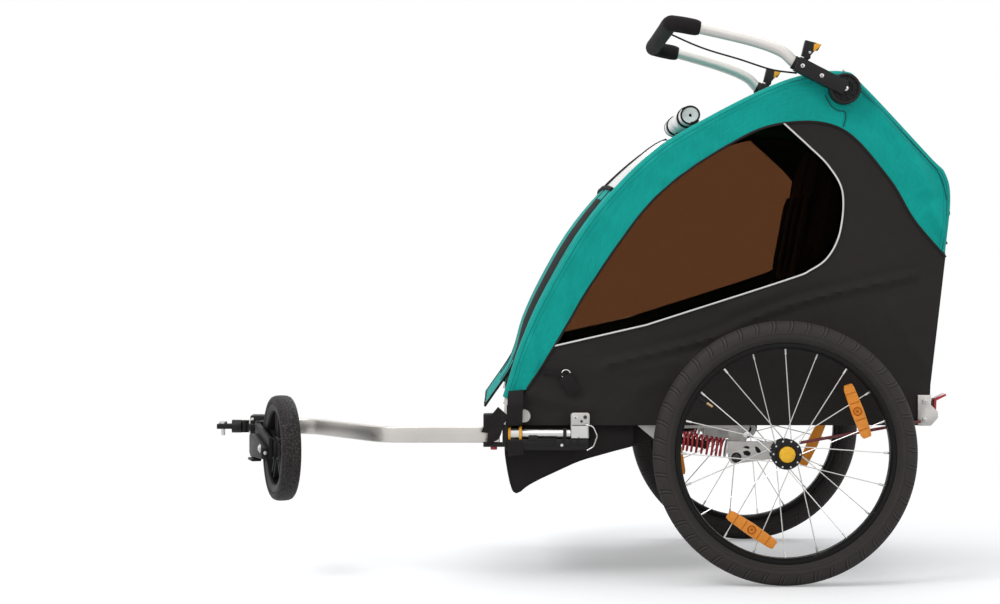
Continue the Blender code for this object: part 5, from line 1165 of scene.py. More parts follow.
valve_brass = brushed("brass", (0.62, 0.42, 0.22), 0.3, (1, 1, 1))
# The reflectors' faint amber emission is a painted glow.
reflector = Finish("amber_reflector", (0.82, 0.27, 0.006), 0.3, Coat_Weight=0.25, Emission_Strength=0.10)
reflector.shader.inputs["Emission Color"].default_value = (1.0, 0.36, 0.01, 1)
x, y, z = reflector.parts()
prisms = (x + z).sine(0.0046) * (x - z).sine(0.0046)
reflector.paint(reflector.mixed(reflector.step(prisms, -0.6, 0.7), (0.62, 0.15, 0.002), (0.95, 0.36, 0.012)))
reflector.raise_by(prisms, 0.0008, 0.8)


def polar(reach, angle):
    return AXLE + Vector((math.cos(math.radians(angle)), math.sin(math.radians(angle)))) * reach


wheel_pieces = {}
tyre = turned(
    "tyre", TYRE_HALF[:-1] + [(radius, -reach) for radius, reach in TYRE_HALF[::-1]], AXLE, WHEEL_PLANE,
    128
)
wheel_pieces["tyre"] = (tyre, tyre_rubber, "tyre", "wheel")
rim = turned(
    "rim", RIM_HALF[:-1] + [(radius, -reach) for radius, reach in RIM_HALF[::-1][:-1]], AXLE, WHEEL_PLANE,
    96
)
rim_black = painted("rim_black", (0.0042, 0.0036, 0.0034), 0.55)
rim_black.shader.inputs["Specular IOR Level"].default_value = 0.12
wheel_pieces["rim"] = (rim, rim_black, "wheel", "wheel")
hub = turned("wheel_hub", HUB_PROFILE, AXLE, WHEEL_PLANE, 40, ring=False)
wheel_pieces["hub"] = (hub, black_plastic, None, "wheel")
cap = turned("release_cap", CAP_PROFILE, AXLE, WHEEL_PLANE, 32, ring=False)
notches = []
for i in range(6):
    at = polar(0.0125, 60 * i)
    notches.append(
        block(
            "notch", (at.x, WHEEL_PLANE - 0.0366, at.y), (0.0050, 0.0022, 0.0018), -math.radians(60 * i),
            0.0004
        )
    )
wheel_pieces["cap"] = (joined("release_cap", [cap] + notches), yellow, "wheel_button", "wheel_button")
spokes, heads = [], []
for i in range(SPOKES):
    angle = 360 * i / SPOKES
    flange = 1 if i % 2 == 0 else -1
    root = polar(0.0250, angle + flange * 35)
    end = polar(0.1985, angle)
    plane = WHEEL_PLANE - flange * 0.022
    start = Vector((root.x, plane, root.y))
    stop = Vector((end.x, WHEEL_PLANE - flange * 0.0006, end.y))
    way = (stop - start).normalized()
    spokes.append(wire("spoke", [start - way * 0.002, stop], 0.00105, 1))
    spokes.append(wire("nipple", [stop - way * 0.0125, stop], 0.0021, 2))
    heads.append(disc("head", root, plane + flange * 0.0030, 0.0019, -flange * 0.0078, 12, 0.0005))
wheel_pieces["spokes"] = (joined("spokes", spokes + heads), steel, None, "wheel")
dark_amber = moulded("dark_amber_lens", (0.42, 0.10, 0.003), 0.3)
plates, marks = [], []
for angle in (30.5, 246):
    middle = polar(0.157, angle)
    lean = math.radians(angle - 90 - 10)
    way, out = Vector((math.cos(lean), math.sin(lean))), Vector((math.sin(lean), -math.cos(lean)))
    shape = [(-0.053, -0.0085), (-0.045, -0.0105), (0, -0.0125), (0.045, -0.0105), (0.053, -0.0085),
             (0.0535, 0.0070), (0.046, 0.0098), (0, 0.0118), (-0.046, 0.0098), (-0.0535, 0.0070)]
    plates.append(
        slab(
            "reflector", [middle + way * a + out * b for a, b in shape], WHEEL_PLANE + 0.0005, -0.0080,
            0.0016
        )
    )
    eye = ring_at("reflector_eye", middle, WHEEL_PLANE - 0.0072, 0.0085, 0.0058, 0.0016)
    marks += [eye, disc("reflector_post", middle, WHEEL_PLANE - 0.0072, 0.0028, -0.0016, 20, 0.0004)]
    for along in (-0.036, -0.0165, 0.0165, 0.036):
        spot = middle + way * along
        bar = block(
            "reflector_bar", (spot.x, WHEEL_PLANE - 0.0076, spot.y), (0.0013, 0.0010, 0.0190), -lean,
            0.0002
        )
        marks.append(bar)
wheel_pieces["reflectors"] = (joined("reflectors", plates), reflector, None, "wheel")
wheel_pieces["marks"] = (joined("reflector_marks", marks), dark_amber, None, "wheel")
foot, tip = polar(0.1975, 147.3), polar(0.163, 147.3)
collar = polar(0.176, 147.3)
stem = wire("valve", [(foot.x, WHEEL_PLANE, foot.y), (collar.x, WHEEL_PLANE, collar.y)], 0.0038, 3)
wheel_pieces["valve"] = (stem, black_plastic, None, "wheel")
brass = wire("valve_tip", [(collar.x, WHEEL_PLANE, collar.y), (tip.x, WHEEL_PLANE, tip.y)], 0.0027, 3)
wheel_pieces["valve tip"] = (brass, valve_brass, None, "wheel")


def far_copy(piece, name, turn):
    """A copy on the right side, mirrored across the trailer and turned about the axle."""
    copy = bpy.data.objects.new(name, piece.data.copy())
    scene.collection.objects.link(copy)
    spin = (
        Matrix.Translation((AXLE.x, 0, AXLE.y)) @ Matrix.Rotation(-turn, 4, "Y")
        @ Matrix.Translation((-AXLE.x, 0, -AXLE.y))
    )
    copy.data.transform(spin @ Matrix.Scale(-1, 4, (0, 1, 0)))
    only(copy)
    bpy.ops.object.mode_set(mode="EDIT")
    bpy.ops.mesh.select_all(action="SELECT")
    bpy.ops.mesh.flip_normals()
    bpy.ops.object.mode_set(mode="OBJECT")
    return copy


for kind, (piece, finish, node, body) in wheel_pieces.items():
    copy = far_copy(piece, f"{piece.name}_right", math.radians(-45))
    piece.name = f"{piece.name}_left"
    for word, one in (("left", piece), ("right", copy)):
        nodes = [f"{node}_{word}"] if node else []
        dress(one, finish, f"button_{word}" if body == "wheel_button" else f"{body}_{word}", *nodes)


# Suspension: a cast silver gusset under each rail, a cast swing arm on a bolt through it, and a
# red coil spring between their two seats.

cast = Finish("cast_silver", (0.60, 0.575, 0.545), 0.42, Metallic=0.55)
lumps = cast.grain(0.0018, 2)
stains = cast.grain(0.03, 4)
cast.paint(cast.mixed(stains, cast.tint(0.78), cast.tint(1.12)))
cast.rough(0.34 + stains * 0.2)
cast.raise_by(lumps, 0.0003, 0.35)
red = painted("red_enamel", (0.43, 0.010, 0.018), 0.24)
SPRING_FRONT = Vector((0.19815, 0.268))
SPRING_REAR = Vector((0.28315, 0.253))
SPRING_PLANE = 0.2875
SPRING_RADIUS = 0.0168
COILS = 9
POCKETS = [
    [(0.3170, 0.2555), (0.3240, 0.2580), (0.3300, 0.2555), (0.3290, 0.2520), (0.3220, 0.2535)],
    [(0.3175, 0.2470), (0.3260, 0.2490), (0.3325, 0.2440), (0.3290, 0.2385), (0.3200, 0.2410)],
    [(0.3400, 0.2570), (0.3455, 0.2560), (0.3520, 0.2480), (0.3500, 0.2420), (0.3430, 0.2470)],
]
# A near-black finish for painted shade in the swing arms' pockets and the clamp's gap.
painted_hollow_shade = moulded("pocket_shadow", (0.006, 0.0055, 0.0055), 0.7)
for word, side in (("left", -1), ("right", 1)):
    refined(f"suspension_bracket_{word}", f"gusset_{word}", cast, "base", 0.0008)
    refined(f"swing_arm_{word}", f"swing_arm_casting_{word}", cast, f"arm_{word}", 0.0016, 3)
    way = (SPRING_REAR - SPRING_FRONT).normalized()
    rise = Vector((-way.y, way.x))
    length = (SPRING_REAR - SPRING_FRONT).length - 0.0074
    line = []
    for i in range(COILS * 20 + 1):
        share = i / (COILS * 20)
        turn = 2 * math.pi * COILS * share
        eased = share + 0.028 * math.sin(2 * math.pi * share) * -1
        middle = SPRING_FRONT + way * (0.0037 + length * eased)
        spot = middle + rise * SPRING_RADIUS * math.cos(turn)
        line.append((spot.x, side * (SPRING_PLANE + SPRING_RADIUS * math.sin(turn)), spot.y))
    spring = wire(f"spring_{word}", line, 0.0024, 3)
    dress(spring, red, "base", f"coil_spring_{word}")
    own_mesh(spring)
    guide = [
        (at.x, side * SPRING_PLANE, at.y)
        for at in (SPRING_FRONT + way * 0.001, SPRING_FRONT + way * 0.052)
    ]
    dress(wire(f"spring_guide_{word}", guide, 0.0078, 4), black_plastic, "base")
    bolt_plane = side * 0.3003
    screw(f"arm_bolt_{word}", (0.30415, 0.236), bolt_plane, side, 0.0062, "base", black_paint)
    # Dark slabs over each swing arm's three pockets: painted shade where the holes look black.
    for i, pocket in enumerate(POCKETS):
        shade_slab = slab(
            f"arm_pocket_{word}_{i}", smooth(pocket + pocket[:1], 3)[:-1], side * 0.2900, side * 0.0036,
            0.0003
        )
        dress(shade_slab, painted_hollow_shade, f"arm_{word}")
    bush = ring_at(f"arm_bush_{word}", (0.30415, 0.236), side * 0.2995, 0.0098, 0.0066, 0.0030, side)
    dress(bush, black_plastic, "base")
    nut = disc(f"arm_nut_{word}", (0.3230, 0.2795), side * 0.2930, 0.0062, side * 0.0050, 6, 0.0010)
    dress(nut, steel, "base")


# Rear corners: a cast silver plate with two screws on each rail, the red parking brake lever on
# the left one, and the brake's dark red rod that runs forward to the axle.

for word, side in (("left", -1), ("right", 1)):
    refined(f"rear_bracket_{word}", f"rear_plate_{word}", cast, "base", 0.0007)
    for i, height in enumerate((0.3088, 0.3442)):
        screw(f"rear_screw_{word}_{i}", (0.66465, height), side * 0.3042, side, 0.0036, "base")
refined("brake_lever", "brake_pedal", red, "brake_lever", 0.0012, 2)
dark_red = painted("dark_red_rod", (0.14, 0.010, 0.014), 0.35)
refined("brake_rod", "brake_link", dark_red, "brake_rod", 0.0006, 1)


# Seats: two-person base and back cushions in black polyester over foam, each with a sewn
# channel between the two places, and piping up the back's sides. Five-point harnesses hang on the back.


def plump(name, node, shrink, pressure, cap, seams, finish, body):
    """A cushion inflated from its CAD solid, with channels pressed in along seams."""
    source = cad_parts[node]
    piece = bpy.data.objects.new(name, source.data.copy())
    scene.collection.objects.link(piece)
    only(piece)
    bpy.ops.object.mode_set(mode="EDIT")
    bpy.ops.mesh.select_all(action="SELECT")
    bpy.ops.mesh.remove_doubles(threshold=1e-5)
    bpy.ops.object.mode_set(mode="OBJECT")
    middle = sum((vert.co for vert in piece.data.vertices), Vector()) / len(piece.data.vertices)
    for vert in piece.data.vertices:
        vert.co = middle + (vert.co - middle) * shrink
    low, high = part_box(node)
    voxels = piece.modifiers.new("voxels", "REMESH")
    voxels.mode = "VOXEL"
    voxels.voxel_size = 0.0065
    bpy.ops.object.modifier_apply(modifier="voxels")
    before = [vert.co.copy() for vert in piece.data.vertices]
    puff = piece.modifiers.new("puff", "CLOTH")
    puff.settings.use_pressure = True
    puff.settings.uniform_pressure_force = pressure
    puff.settings.effector_weights.gravity = 0
    puff.settings.quality = 4
    puff.settings.tension_stiffness = 12
    for step in range(1, 15):
        scene.frame_set(step)
    bpy.ops.object.modifier_apply(modifier="puff")
    scene.frame_set(1)
    normals = [vert.normal.copy() for vert in piece.data.vertices]
    for vert, start, normal in zip(piece.data.vertices, before, normals):
        move = vert.co - start
        at = start + move.normalized() * min(move.length, cap)
        for a, b, depth, width in seams:
            gap = (at - near_segment(at, Vector(a), Vector(b))).length
            at = at - normal * depth * math.exp(-((gap / width) ** 2))
        vert.co = Vector(max(low[i], min(high[i], at[i])) for i in range(3))
    soft = piece.modifiers.new("soft", "SUBSURF")
    soft.levels = 1
    soft.render_levels = 1
    bpy.ops.object.modifier_apply(modifier="soft")
    bpy.ops.object.shade_smooth()
    dress(piece, finish, body, node)
    return piece


def near_segment(spot, a, b):
    """The nearest place to a spot on the line from a to b."""
    way = b - a
    return a + way * max(0.0, min(1.0, (spot - a).dot(way) / way.dot(way)))


padding = cloth("seat_polyester", (0.020, 0.018, 0.019), pitch=0.0014, kind="Object", gloss=0.15, crease=0.6)
SEAT_TOP = 0.3725
BACK_FOOT = Vector((0.42915, 0.3655))
BACK_WAY = Vector((0.1862, 0.9825))
BACK_FRONT = Vector((-BACK_WAY.y, BACK_WAY.x)) * 0.029


def on_back(height, y, out=0.0):
    """A place on the front of the seat back: how far up it, how far across, and how proud."""
    at = BACK_FOOT + BACK_WAY * height + BACK_FRONT * (1 + out / 0.029)
    return (at.x, y, at.y)


SEAT_HALF_WIDTH = 0.232
seat_seams = [((0.14, 0, SEAT_TOP), (0.45, 0, SEAT_TOP), 0.009, 0.009)]
seat_seams += [
    ((0.14, side * 0.116, SEAT_TOP), (0.44, side * 0.116, SEAT_TOP), 0.0035, 0.008) for side in (-1, 1)
]
seat_seams += [
    ((x, -SEAT_HALF_WIDTH, SEAT_TOP), (x, SEAT_HALF_WIDTH, SEAT_TOP), 0.0035, 0.008)
    for x in (0.235, 0.335)
]
plump("seat_cushion", "seat_base", 0.985, 3.0, 0.010, seat_seams, padding, "base")
back_seams = [(on_back(0, 0), on_back(0.5, 0), 0.009, 0.009)]
back_seams += [
    (on_back(height, -SEAT_HALF_WIDTH), on_back(height, SEAT_HALF_WIDTH), 0.004, 0.008)
    for height in (0.13, 0.26, 0.39)
]
back = plump("back_cushion", "seat_back", 0.985, 3.0, 0.010, back_seams, padding, None)
SLING = (on_back(0.02, 0), on_back(0.47, 0))
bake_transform(back)
seat_piping = []
for y in (-0.226, 0.226):
    seat_piping.append(wire("rim_piping", [on_back(h * 0.04 + 0.02, y, -0.012) for h in range(12)], 0.002, 2))
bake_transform(dress(joined("back_piping", seat_piping), webbing, None))

BUCKLE_GREY = moulded("grey_acetal", (0.05, 0.05, 0.052), 0.4)
for word, side in (("left", -1), ("right", 1)):
    middle = side * 0.116
    straps = []
    for across in (-0.0625, 0.0625):
        rows = []
        for step in range(25):
            height = 0.055 + 0.375 * step / 24
            proud = 0.0030 + 0.0045 * math.sin(math.pi * step / 24) + 0.0008 * math.sin(step * 1.7)
            pull = across * (1 - 0.18 * math.sin(math.pi * min(step / 14, 1)))
            rows.append(
                [
                    Vector(on_back(height, middle + pull + (share - 0.5) * 0.025, proud))
                    for share in (0, 0.1, 0.5, 0.9, 1)
                ]
            )
        piece = sheet_from("shoulder_strap", rows)
        sewn(piece, 0.0016)
        straps.append(piece)
        pad_rows = []
        for step in range(15):
            height = 0.22 + 0.16 * step / 14
            swell = 0.0055 * min(1, 4 * math.sin(math.pi * step / 14))
            row = []
            for j in range(9):
                share = j / 8
                row.append(
                    Vector(
                        on_back(
                            height, middle + across * 0.93 + (share - 0.5) * 0.042,
                            0.0080 + swell * math.sin(math.pi * share) ** 0.5
                        )
                    )
                )
            pad_rows.append(row)
        pad = sheet_from("shoulder_pad", pad_rows)
        sewn(pad, 0.003, 1)
        straps.append(pad)
    for height, reach, width in ((0.185, 0.066, 0.024), (0.058, 0.073, 0.025)):
        rows = []
        for step in range(17):
            y = middle - reach + 2 * reach * step / 16
            proud = 0.0085 + 0.0020 * math.sin(math.pi * step / 16)
            rows.append(
                [Vector(on_back(height + (share - 0.5) * width, y, proud)) for share in (0, 0.12, 0.88, 1)]
            )
        piece = sheet_from("cross_strap", rows)
        sewn(piece, 0.0016)
        straps.append(piece)
    harness = joined(f"harness_webbing_{word}", straps)
    dress(harness, webbing, None, f"harness_{word}")
    buckles = []
    for height, size in ((0.185, (0.040, 0.050, 0.0085)), (0.064, (0.046, 0.040, 0.0085))):
        x, y, z = on_back(height, middle, 0.0125)
        shell = block(
            "buckle", (x, y, z), (size[2], size[0], size[1] * 0.6), math.atan2(BACK_WAY.x, BACK_WAY.y),
            0.003
        )
        push = block(
            "buckle_button", (x - 0.0030, y, z), (size[2], size[0] * 0.45, size[1] * 0.28),
            math.atan2(BACK_WAY.x, BACK_WAY.y), 0.002
        )
        buckles += [shell, push]
    fasteners = dress(joined(f"harness_buckles_{word}", buckles), BUCKLE_GREY, None)
    for piece in (harness, fasteners):
        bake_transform(piece)


# Floor, footwell and rear: black polyester stretched over the rails, with a tough coated tub for
# feet ahead of the seat, a stiff floor board and a rear wall with a bound zip flap.

tub_cloth = cloth("coated_tub_cloth", (0.013, 0.0105, 0.010), kind="Object", gloss=0.2, crease=0.5)
refined("footwell", "footwell_tub", tub_cloth, "base", 0.0016, 2)
board_cloth = cloth("floor_cloth", (0.016, 0.014, 0.014), kind="Object", gloss=0.15)
refined("floor_panel", "floor_board", board_cloth, "base", 0.001, 2)
WALL = [Vector((0.7047, 0.6195)), Vector((0.6762, 0.375)), Vector((0.6732, 0.2985))]
wall_line = smooth([(at.x - 0.0016, at.y) for at in WALL], 14)
wall_rows = []
for i, at in enumerate(wall_line):
    row = []
    for j in range(33):
        share = 2 * j / 32 - 1
        rest = (1 - share ** 8) * math.sin(math.pi * i / (len(wall_line) - 1)) ** 0.4
        drag = 0.0030 * noise.noise(Vector((share * 2.1, i * 0.09, 7.7))) - 0.0026
        row.append(Vector((at.x + drag * rest, share * 0.2938, at.y)))
    wall_rows.append(row)
wall = sheet_from("rear_wall", wall_rows)
area = sewn(wall, 0.0012)
wall_cloth = cloth("rear_polyester", (0.012, 0.0095, 0.009), gloss=0.12)
dress(wall, wall_cloth, None, "rear_panel")
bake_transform(wall)
zip_line = [(-0.235, 0.345), (-0.235, 0.56), (-0.205, 0.588), (0.205, 0.588), (0.235, 0.56), (0.235, 0.345)]
zip_line = [(0.6765 + max(0, z - 0.375) * 0.116, y, z) for y, z in zip_line]
zip_path = []
for a, b in zip(zip_line, zip_line[1:]):
    steps = max(2, int((Vector(b) - Vector(a)).length / 0.01))
    zip_path += [Vector(a).lerp(Vector(b), i / steps) for i in range(steps)]
zip_path.append(Vector(zip_line[-1]))
zipper = wire("rear_zip", [(at.x - 0.0010, at.y, at.z) for at in zip_path], 0.0022, 2)
dress(zipper, black_plastic, None)
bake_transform(zipper)


# Tow bar and its receiver: a rectangular aluminium bar on a pin in a black moulded fork, held by
# a silver clamp on a short tube, amber bushings, a red push button and a wire bail.

bar_finish = brushed("tow_bar_aluminium", (0.66, 0.63, 0.59), 0.34, (0.05, 0.05, 1))
refined("tow_bar", "tow_bar_extrusion", bar_finish, "tow_bar", 0.0022, 3)
refined("tow_receiver", "receiver_housing", black_plastic, "base", 0.0012, 2)
refined("receiver_clamp", "receiver_clamp_block", steel, "base", 0.0016, 3)
refined("tow_pin_button", "pin_button", red, "pin_button", 0.0010, 2)
bail_steel = brushed("stainless_wire", (0.72, 0.70, 0.68), 0.25, (1, 1, 1))
refined("retaining_bail", "bail_wire", bail_steel, "bail", 0.0, 1, 60)
TUBE_AXIS = 0.2823
TOW_PLANE = -0.3108
for i, x in enumerate((-0.1335, -0.1126)):
    bush = turned(
        f"amber_bushing_{i}",
        [
            (0.0092, 0.0), (0.0142, 0.0), (0.0148, 0.0008), (0.0148, 0.0042), (0.0142, 0.0050),
            (0.0092, 0.0050)
        ],
        (0, 0), 0, 32
    )
    bush.data.transform(Matrix.Translation((x, TOW_PLANE, TUBE_AXIS)) @ Matrix.Rotation(math.pi / 2, 4, "Z"))
    dress(bush, amber, "base")
sleeve = wire("receiver_sleeve", [(x, TOW_PLANE, TUBE_AXIS) for x in (-0.1300, -0.1120)], 0.0118, 6)
dress(sleeve, steel, "base")
clamp_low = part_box("receiver_clamp")[0]
PLATE_X = 0.0045
PLATE = [
    (-0.0175, 0.2990), (0.0175, 0.2990), (0.0175, 0.3170), (0.0165, 0.3205), (0.0135, 0.3220),
    (-0.0135, 0.3220), (-0.0165, 0.3205), (-0.0175, 0.3170)
]
plate = slab(
    "clamp_plate", [(PLATE_X + x, z + 0.0015) for x, z in PLATE], clamp_low[1] + 0.001, -0.0026, 0.0007
)
dress(plate, cast, "base")
for i, (dx, dz, head) in enumerate(
    ((-0.0095, 0.0135, 0.0046), (0.0090, 0.0150, 0.0036), (0.0020, 0.0070, 0.0026))
):
    at = (PLATE_X + dx, 0.3000 + dz)
    screw(f"plate_screw_{i}", at, clamp_low[1] - 0.0014, -1, head, "base", steel if i == 0 else black_paint)
# A thin dark block in the clamp's gap: painted shade.
dress(
    block("clamp_gap_shade", (PLATE_X, clamp_low[1] - 0.0002, 0.2992), (0.0330, 0.0012, 0.0014), 0, 0.0003),
    painted_hollow_shade, "base"
)
dress(disc("housing_rivet", (-0.0310, 0.2615), -0.3238, 0.0030, -0.0018, 20, 0.0007), steel, "base")
refined("tow_hitch", "hitch_link", black_plastic, "hitch", 0.0012, 2)
refined("hitch_pin", "hitch_pin_steel", steel, "hitch_pin", 0.0010, 2)


# Stroller kit: a black moulded clamp, arm and fork, with bolts, a rivet and a catch, carry a solid
# wheel with recessed moulded spokes and a knobbed tread speckled with painted highlights. It is
# stowed beside the tow bar.

for node in ("stroller_clamp", "stroller_arm", "stroller_fork"):
    body = {
        "stroller_clamp": "tow_bar", "stroller_arm": "stroller_arm", "stroller_fork": "stroller_fork"
    }[node]
    refined(node, f"{node}_moulding", black_plastic, body, 0.0014, 3)
kit_low, kit_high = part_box("stroller_wheel")
KIT_CENTRE = (Vector(kit_low) + Vector(kit_high)) / 2
KIT_TURN = math.radians(17)
kit_place = (
    Matrix.Translation(KIT_CENTRE) @ Matrix.Rotation(KIT_TURN, 4, "Z")
    @ Matrix.Rotation(math.pi / 2, 4, "Z")
)
rubber = moulded("kit_tyre", (0.0130, 0.0110, 0.0105), 0.55)
knobs = rubber.out(
    rubber.node("TexVoronoi", {"feature": "DISTANCE_TO_EDGE"}, Vector=rubber.place(), Scale=1 / 0.0058),
    "Distance"
)
knobs = rubber.step(knobs, 0.03, 0.14)
# Light speckles on the knobs are painted highlights.
rubber.paint(rubber.mixed(knobs * rubber.grain(0.004, 2), rubber.tint(0.6), rubber.tint(4.5)))
rubber.raise_by(knobs, 0.0014, 1.0)
KIT_TYRE = [
    (0.0850, 0.0150), (0.0865, 0.0178), (0.0900, 0.0192), (0.0945, 0.0186), (0.0980, 0.0160),
    (0.1002, 0.0110),
    (0.1009, 0.0050), (0.1010, 0.0),
]
KIT_HUB = [
    (0.0062, 0.0196), (0.0120, 0.0196), (0.0185, 0.0188), (0.0200, 0.0170), (0.0205, 0.0110),
    (0.0240, 0.0075),
    (0.0240, -0.0075), (0.0205, -0.0110), (0.0200, -0.0170), (0.0185, -0.0188), (0.0120, -0.0196),
    (0.0062, -0.0196),
]
KIT_RIM = [
    (0.0700, 0.0120), (0.0725, 0.0150), (0.0800, 0.0172), (0.0850, 0.0175), (0.0862, 0.0150),
    (0.0862, -0.0150),
    (0.0850, -0.0175), (0.0800, -0.0172), (0.0725, -0.0150), (0.0700, -0.0120),
]
kit_tyre = turned(
    "kit_tyre", KIT_TYRE[:-1] + [(radius, -reach) for radius, reach in KIT_TYRE[::-1]], (0, 0), 0, 72
)
kit_tyre.data.transform(kit_place)
dress(kit_tyre, rubber, "stroller_wheel", "stroller_wheel")
kit_parts = [turned("kit_hub", KIT_HUB, (0, 0), 0, 40), turned("kit_rim", KIT_RIM, (0, 0), 0, 72)]
for i in range(5):
    angle = math.radians(72 * i + 18)
    for offset in (-0.0075, 0.0075):
        middle = Vector((math.cos(angle), math.sin(angle))) * 0.0475 + Vector(
            (-math.sin(angle), math.cos(angle))
        ) * offset
        kit_parts.append(block("kit_spoke", (middle.x, 0, middle.y), (0.054, 0.0200, 0.0055), -angle, 0.0018))
    middle = Vector((math.cos(angle), math.sin(angle))) * 0.0475
    kit_parts.append(block("kit_web", (middle.x, 0, middle.y), (0.052, 0.0060, 0.0150), -angle, 0.0010))
kit_wheel = joined("kit_wheel_moulding", kit_parts)
kit_wheel.data.transform(kit_place)
dress(kit_wheel, black_plastic, "stroller_wheel")
axle_bolt = joined("kit_axle_bolt", [
    disc("bolt_flange", (0, 0), 0.0418, 0.0085, 0.0014, 28, 0.0005),
    disc("bolt_head", (0, 0), 0.0428, 0.0055, 0.0030, 6, 0.0006),
])
axle_bolt.data.transform(kit_place)
dress(axle_bolt, steel, "stroller_fork")
CATCH = [
    (-0.012, -0.020), (0.100, -0.024), (0.112, -0.018), (0.112, 0.020), (0.095, 0.022), (0.010, 0.006),
    (-0.012, 0.002)
]
catch = joined("kit_catch", [
    slab("catch_box", CATCH, 0.0265, 0.0155, 0.0030),
    block("catch_lever", (0.0850, 0.0360, -0.0275), (0.0400, 0.0200, 0.0060), 0, 0.0025),
])
catch.data.transform(kit_place)
dress(catch, black_plastic, "stroller_fork")
end_screw = disc("kit_end_screw", (0, 0), 0, 0.0036, 0.0022, 20, 0.0007)
end_screw.data.transform(
    kit_place @ Matrix.Translation((-0.0118, 0.0345, -0.0080)) @ Matrix.Rotation(math.pi / 2, 4, "Z")
)
dress(end_screw, steel, "stroller_fork")
dress(disc("kit_clamp_rivet", (-0.6440, 0.2965), -0.1066, 0.0034, -0.0022, 20, 0.0008), steel, "tow_bar")


# Lower front: a black strap at each hinge, a webbing tab at the bar's end, a strap with a steel
# ring at the left panel's corner, a silver hinge cheek, the receiver's ribs, lip, saddle, collar and
# end cap, the pin button's grey tip, and the footwell's reflective band and seams.


def ribbon(name, path, width, thickness, finish, body, twist=None):
    """A flat strap along a path, its width along a direction at each point."""
    rows = []
    for i, at in enumerate(path):
        across = (twist[i] if isinstance(twist, list) else twist or Vector((1, 0, 0))).normalized()
        rows.append([Vector(at) + across * width * (share - 0.5) for share in (0, 0.1, 0.35, 0.65, 0.9, 1)])
    piece = sheet_from(name, rows)
    sewn(piece, thickness)
    return dress(piece, finish, body)


for word, side in (("left", -1), ("right", 1)):
    drop = [
        (-0.1180, -0.2990, 0.3640), (-0.1190, -0.3120, 0.3570), (-0.1198, -0.3245, 0.3420),
        (-0.1205, -0.3262, 0.3250),
        (-0.1210, -0.3256, 0.3080), (-0.1215, -0.3220, 0.3000), (-0.1215, -0.2990, 0.2960),
        (-0.1215, -0.2950, 0.2800),
        (-0.1212, -0.3000, 0.2700), (-0.1210, -0.3235, 0.2680), (-0.1205, -0.3262, 0.2620),
        (-0.1195, -0.3266, 0.2520),
        (-0.1190, -0.3264, 0.2420),
    ]
    if side > 0:
        drop = [(x, 0.3000 + (-y - 0.2990) * 0.2, z) for x, y, z in drop[:5]]
    path = smooth([(x, y, z) for x, y, z in drop], 4)
    ribbon(f"hinge_strap_{word}", path, 0.0300, 0.0020, webbing, "base", Vector((1, 0, 0.10)))
tab_path = smooth(
    [
        (-0.1420, -0.3250, 0.3250), (-0.1530, -0.3300, 0.3120), (-0.1640, -0.3310, 0.2990),
        (-0.1700, -0.3290, 0.2850)
    ],
    6
)
ribbon(
    "bar_tie_front", tab_path, 0.0290, 0.0024, webbing, "base",
    [Vector((1, 0, -0.9 + 0.8 * i / len(tab_path))) for i in range(len(tab_path))]
)
tail_path = smooth(
    [
        (-0.1560, -0.3300, 0.2990), (-0.1580, -0.3325, 0.2880), (-0.1600, -0.3320, 0.2780),
        (-0.1640, -0.3300, 0.2670)
    ],
    5
)
ribbon(
    "bar_tie_tail", tail_path, 0.0270, 0.0022, webbing, "base",
    [Vector((1, 0, 0.05 + 0.5 * i / len(tail_path))) for i in range(len(tail_path))]
)
CHEEK = [
    (-0.1448, 0.3030), (-0.1385, 0.3005), (-0.1358, 0.3180), (-0.1362, 0.3460), (-0.1400, 0.3470),
    (-0.1418, 0.3200)
]
dress(slab("hinge_cheek", CHEEK, -0.3244, -0.0016, 0.0005), cast, "base")
ring_bend = [
    (-0.0225 + 0.0085 * math.cos(i * math.pi / 8), -0.3025, 0.3960 + 0.0085 * math.sin(i * math.pi / 8))
    for i in range(16)
]
dress(wire("corner_ring", ring_bend, 0.0012, 3, True), steel, "base")
corner = smooth(
    [
        (-0.0700, -0.2990, 0.3990), (-0.0600, -0.3015, 0.4000), (-0.0420, -0.3035, 0.3985),
        (-0.0240, -0.3035, 0.3940)
    ],
    5
)
lace = ribbon("corner_strap", corner, 0.0060, 0.0018, webbing, "base", Vector((0, 0, 1)))
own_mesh(lace)
flat_end = smooth(
    [
        (-0.0240, -0.3040, 0.3930), (-0.0180, -0.3060, 0.3820), (-0.0080, -0.3050, 0.3660),
        (-0.0040, -0.3030, 0.3590)
    ],
    5
)
ribbon("corner_strap_end", flat_end, 0.0240, 0.0026, webbing, "base", Vector((1, 0, 0.55)))
cap_end = turned(
    "tube_end_cap", [(0, 0.0), (0.0118, 0.0), (0.0128, -0.0016), (0.0128, -0.0100), (0, -0.0100)],
    (-0.1030, 0.3160), -0.3062, 32, ring=False
)
dress(cap_end, cast, "base")
for i, x in enumerate((-0.0440, -0.0290, -0.0140, 0.0010)):
    dress(
        block(f"housing_rib_{i}", (x, -0.3240, 0.2690), (0.0018, 0.0016, 0.0150), 0, 0.0005),
        black_plastic, "base"
    )
dress(
    block("housing_lip", (-0.0400, -0.3243, 0.2618), (0.1150, 0.0018, 0.0022), 0, 0.0007), black_plastic,
    "base"
)
shade = slab(
    "tube_saddle",
    [
        (-0.0950, 0.2790), (-0.0790, 0.2790), (-0.0770, 0.2745), (-0.0440, 0.2745), (-0.0440, 0.2705),
        (-0.0950, 0.2705)
    ],
    -0.3205, -0.0035, 0.0008
)
dress(shade, black_plastic, "base")
tube_collar = block("tube_collar", (-0.0255, -0.3160, 0.2800), (0.0060, 0.0140, 0.0270), 0, 0.0012)
dress(tube_collar, black_plastic, "base")
grey = moulded("grey_button_tip", (0.24, 0.25, 0.28), 0.35)
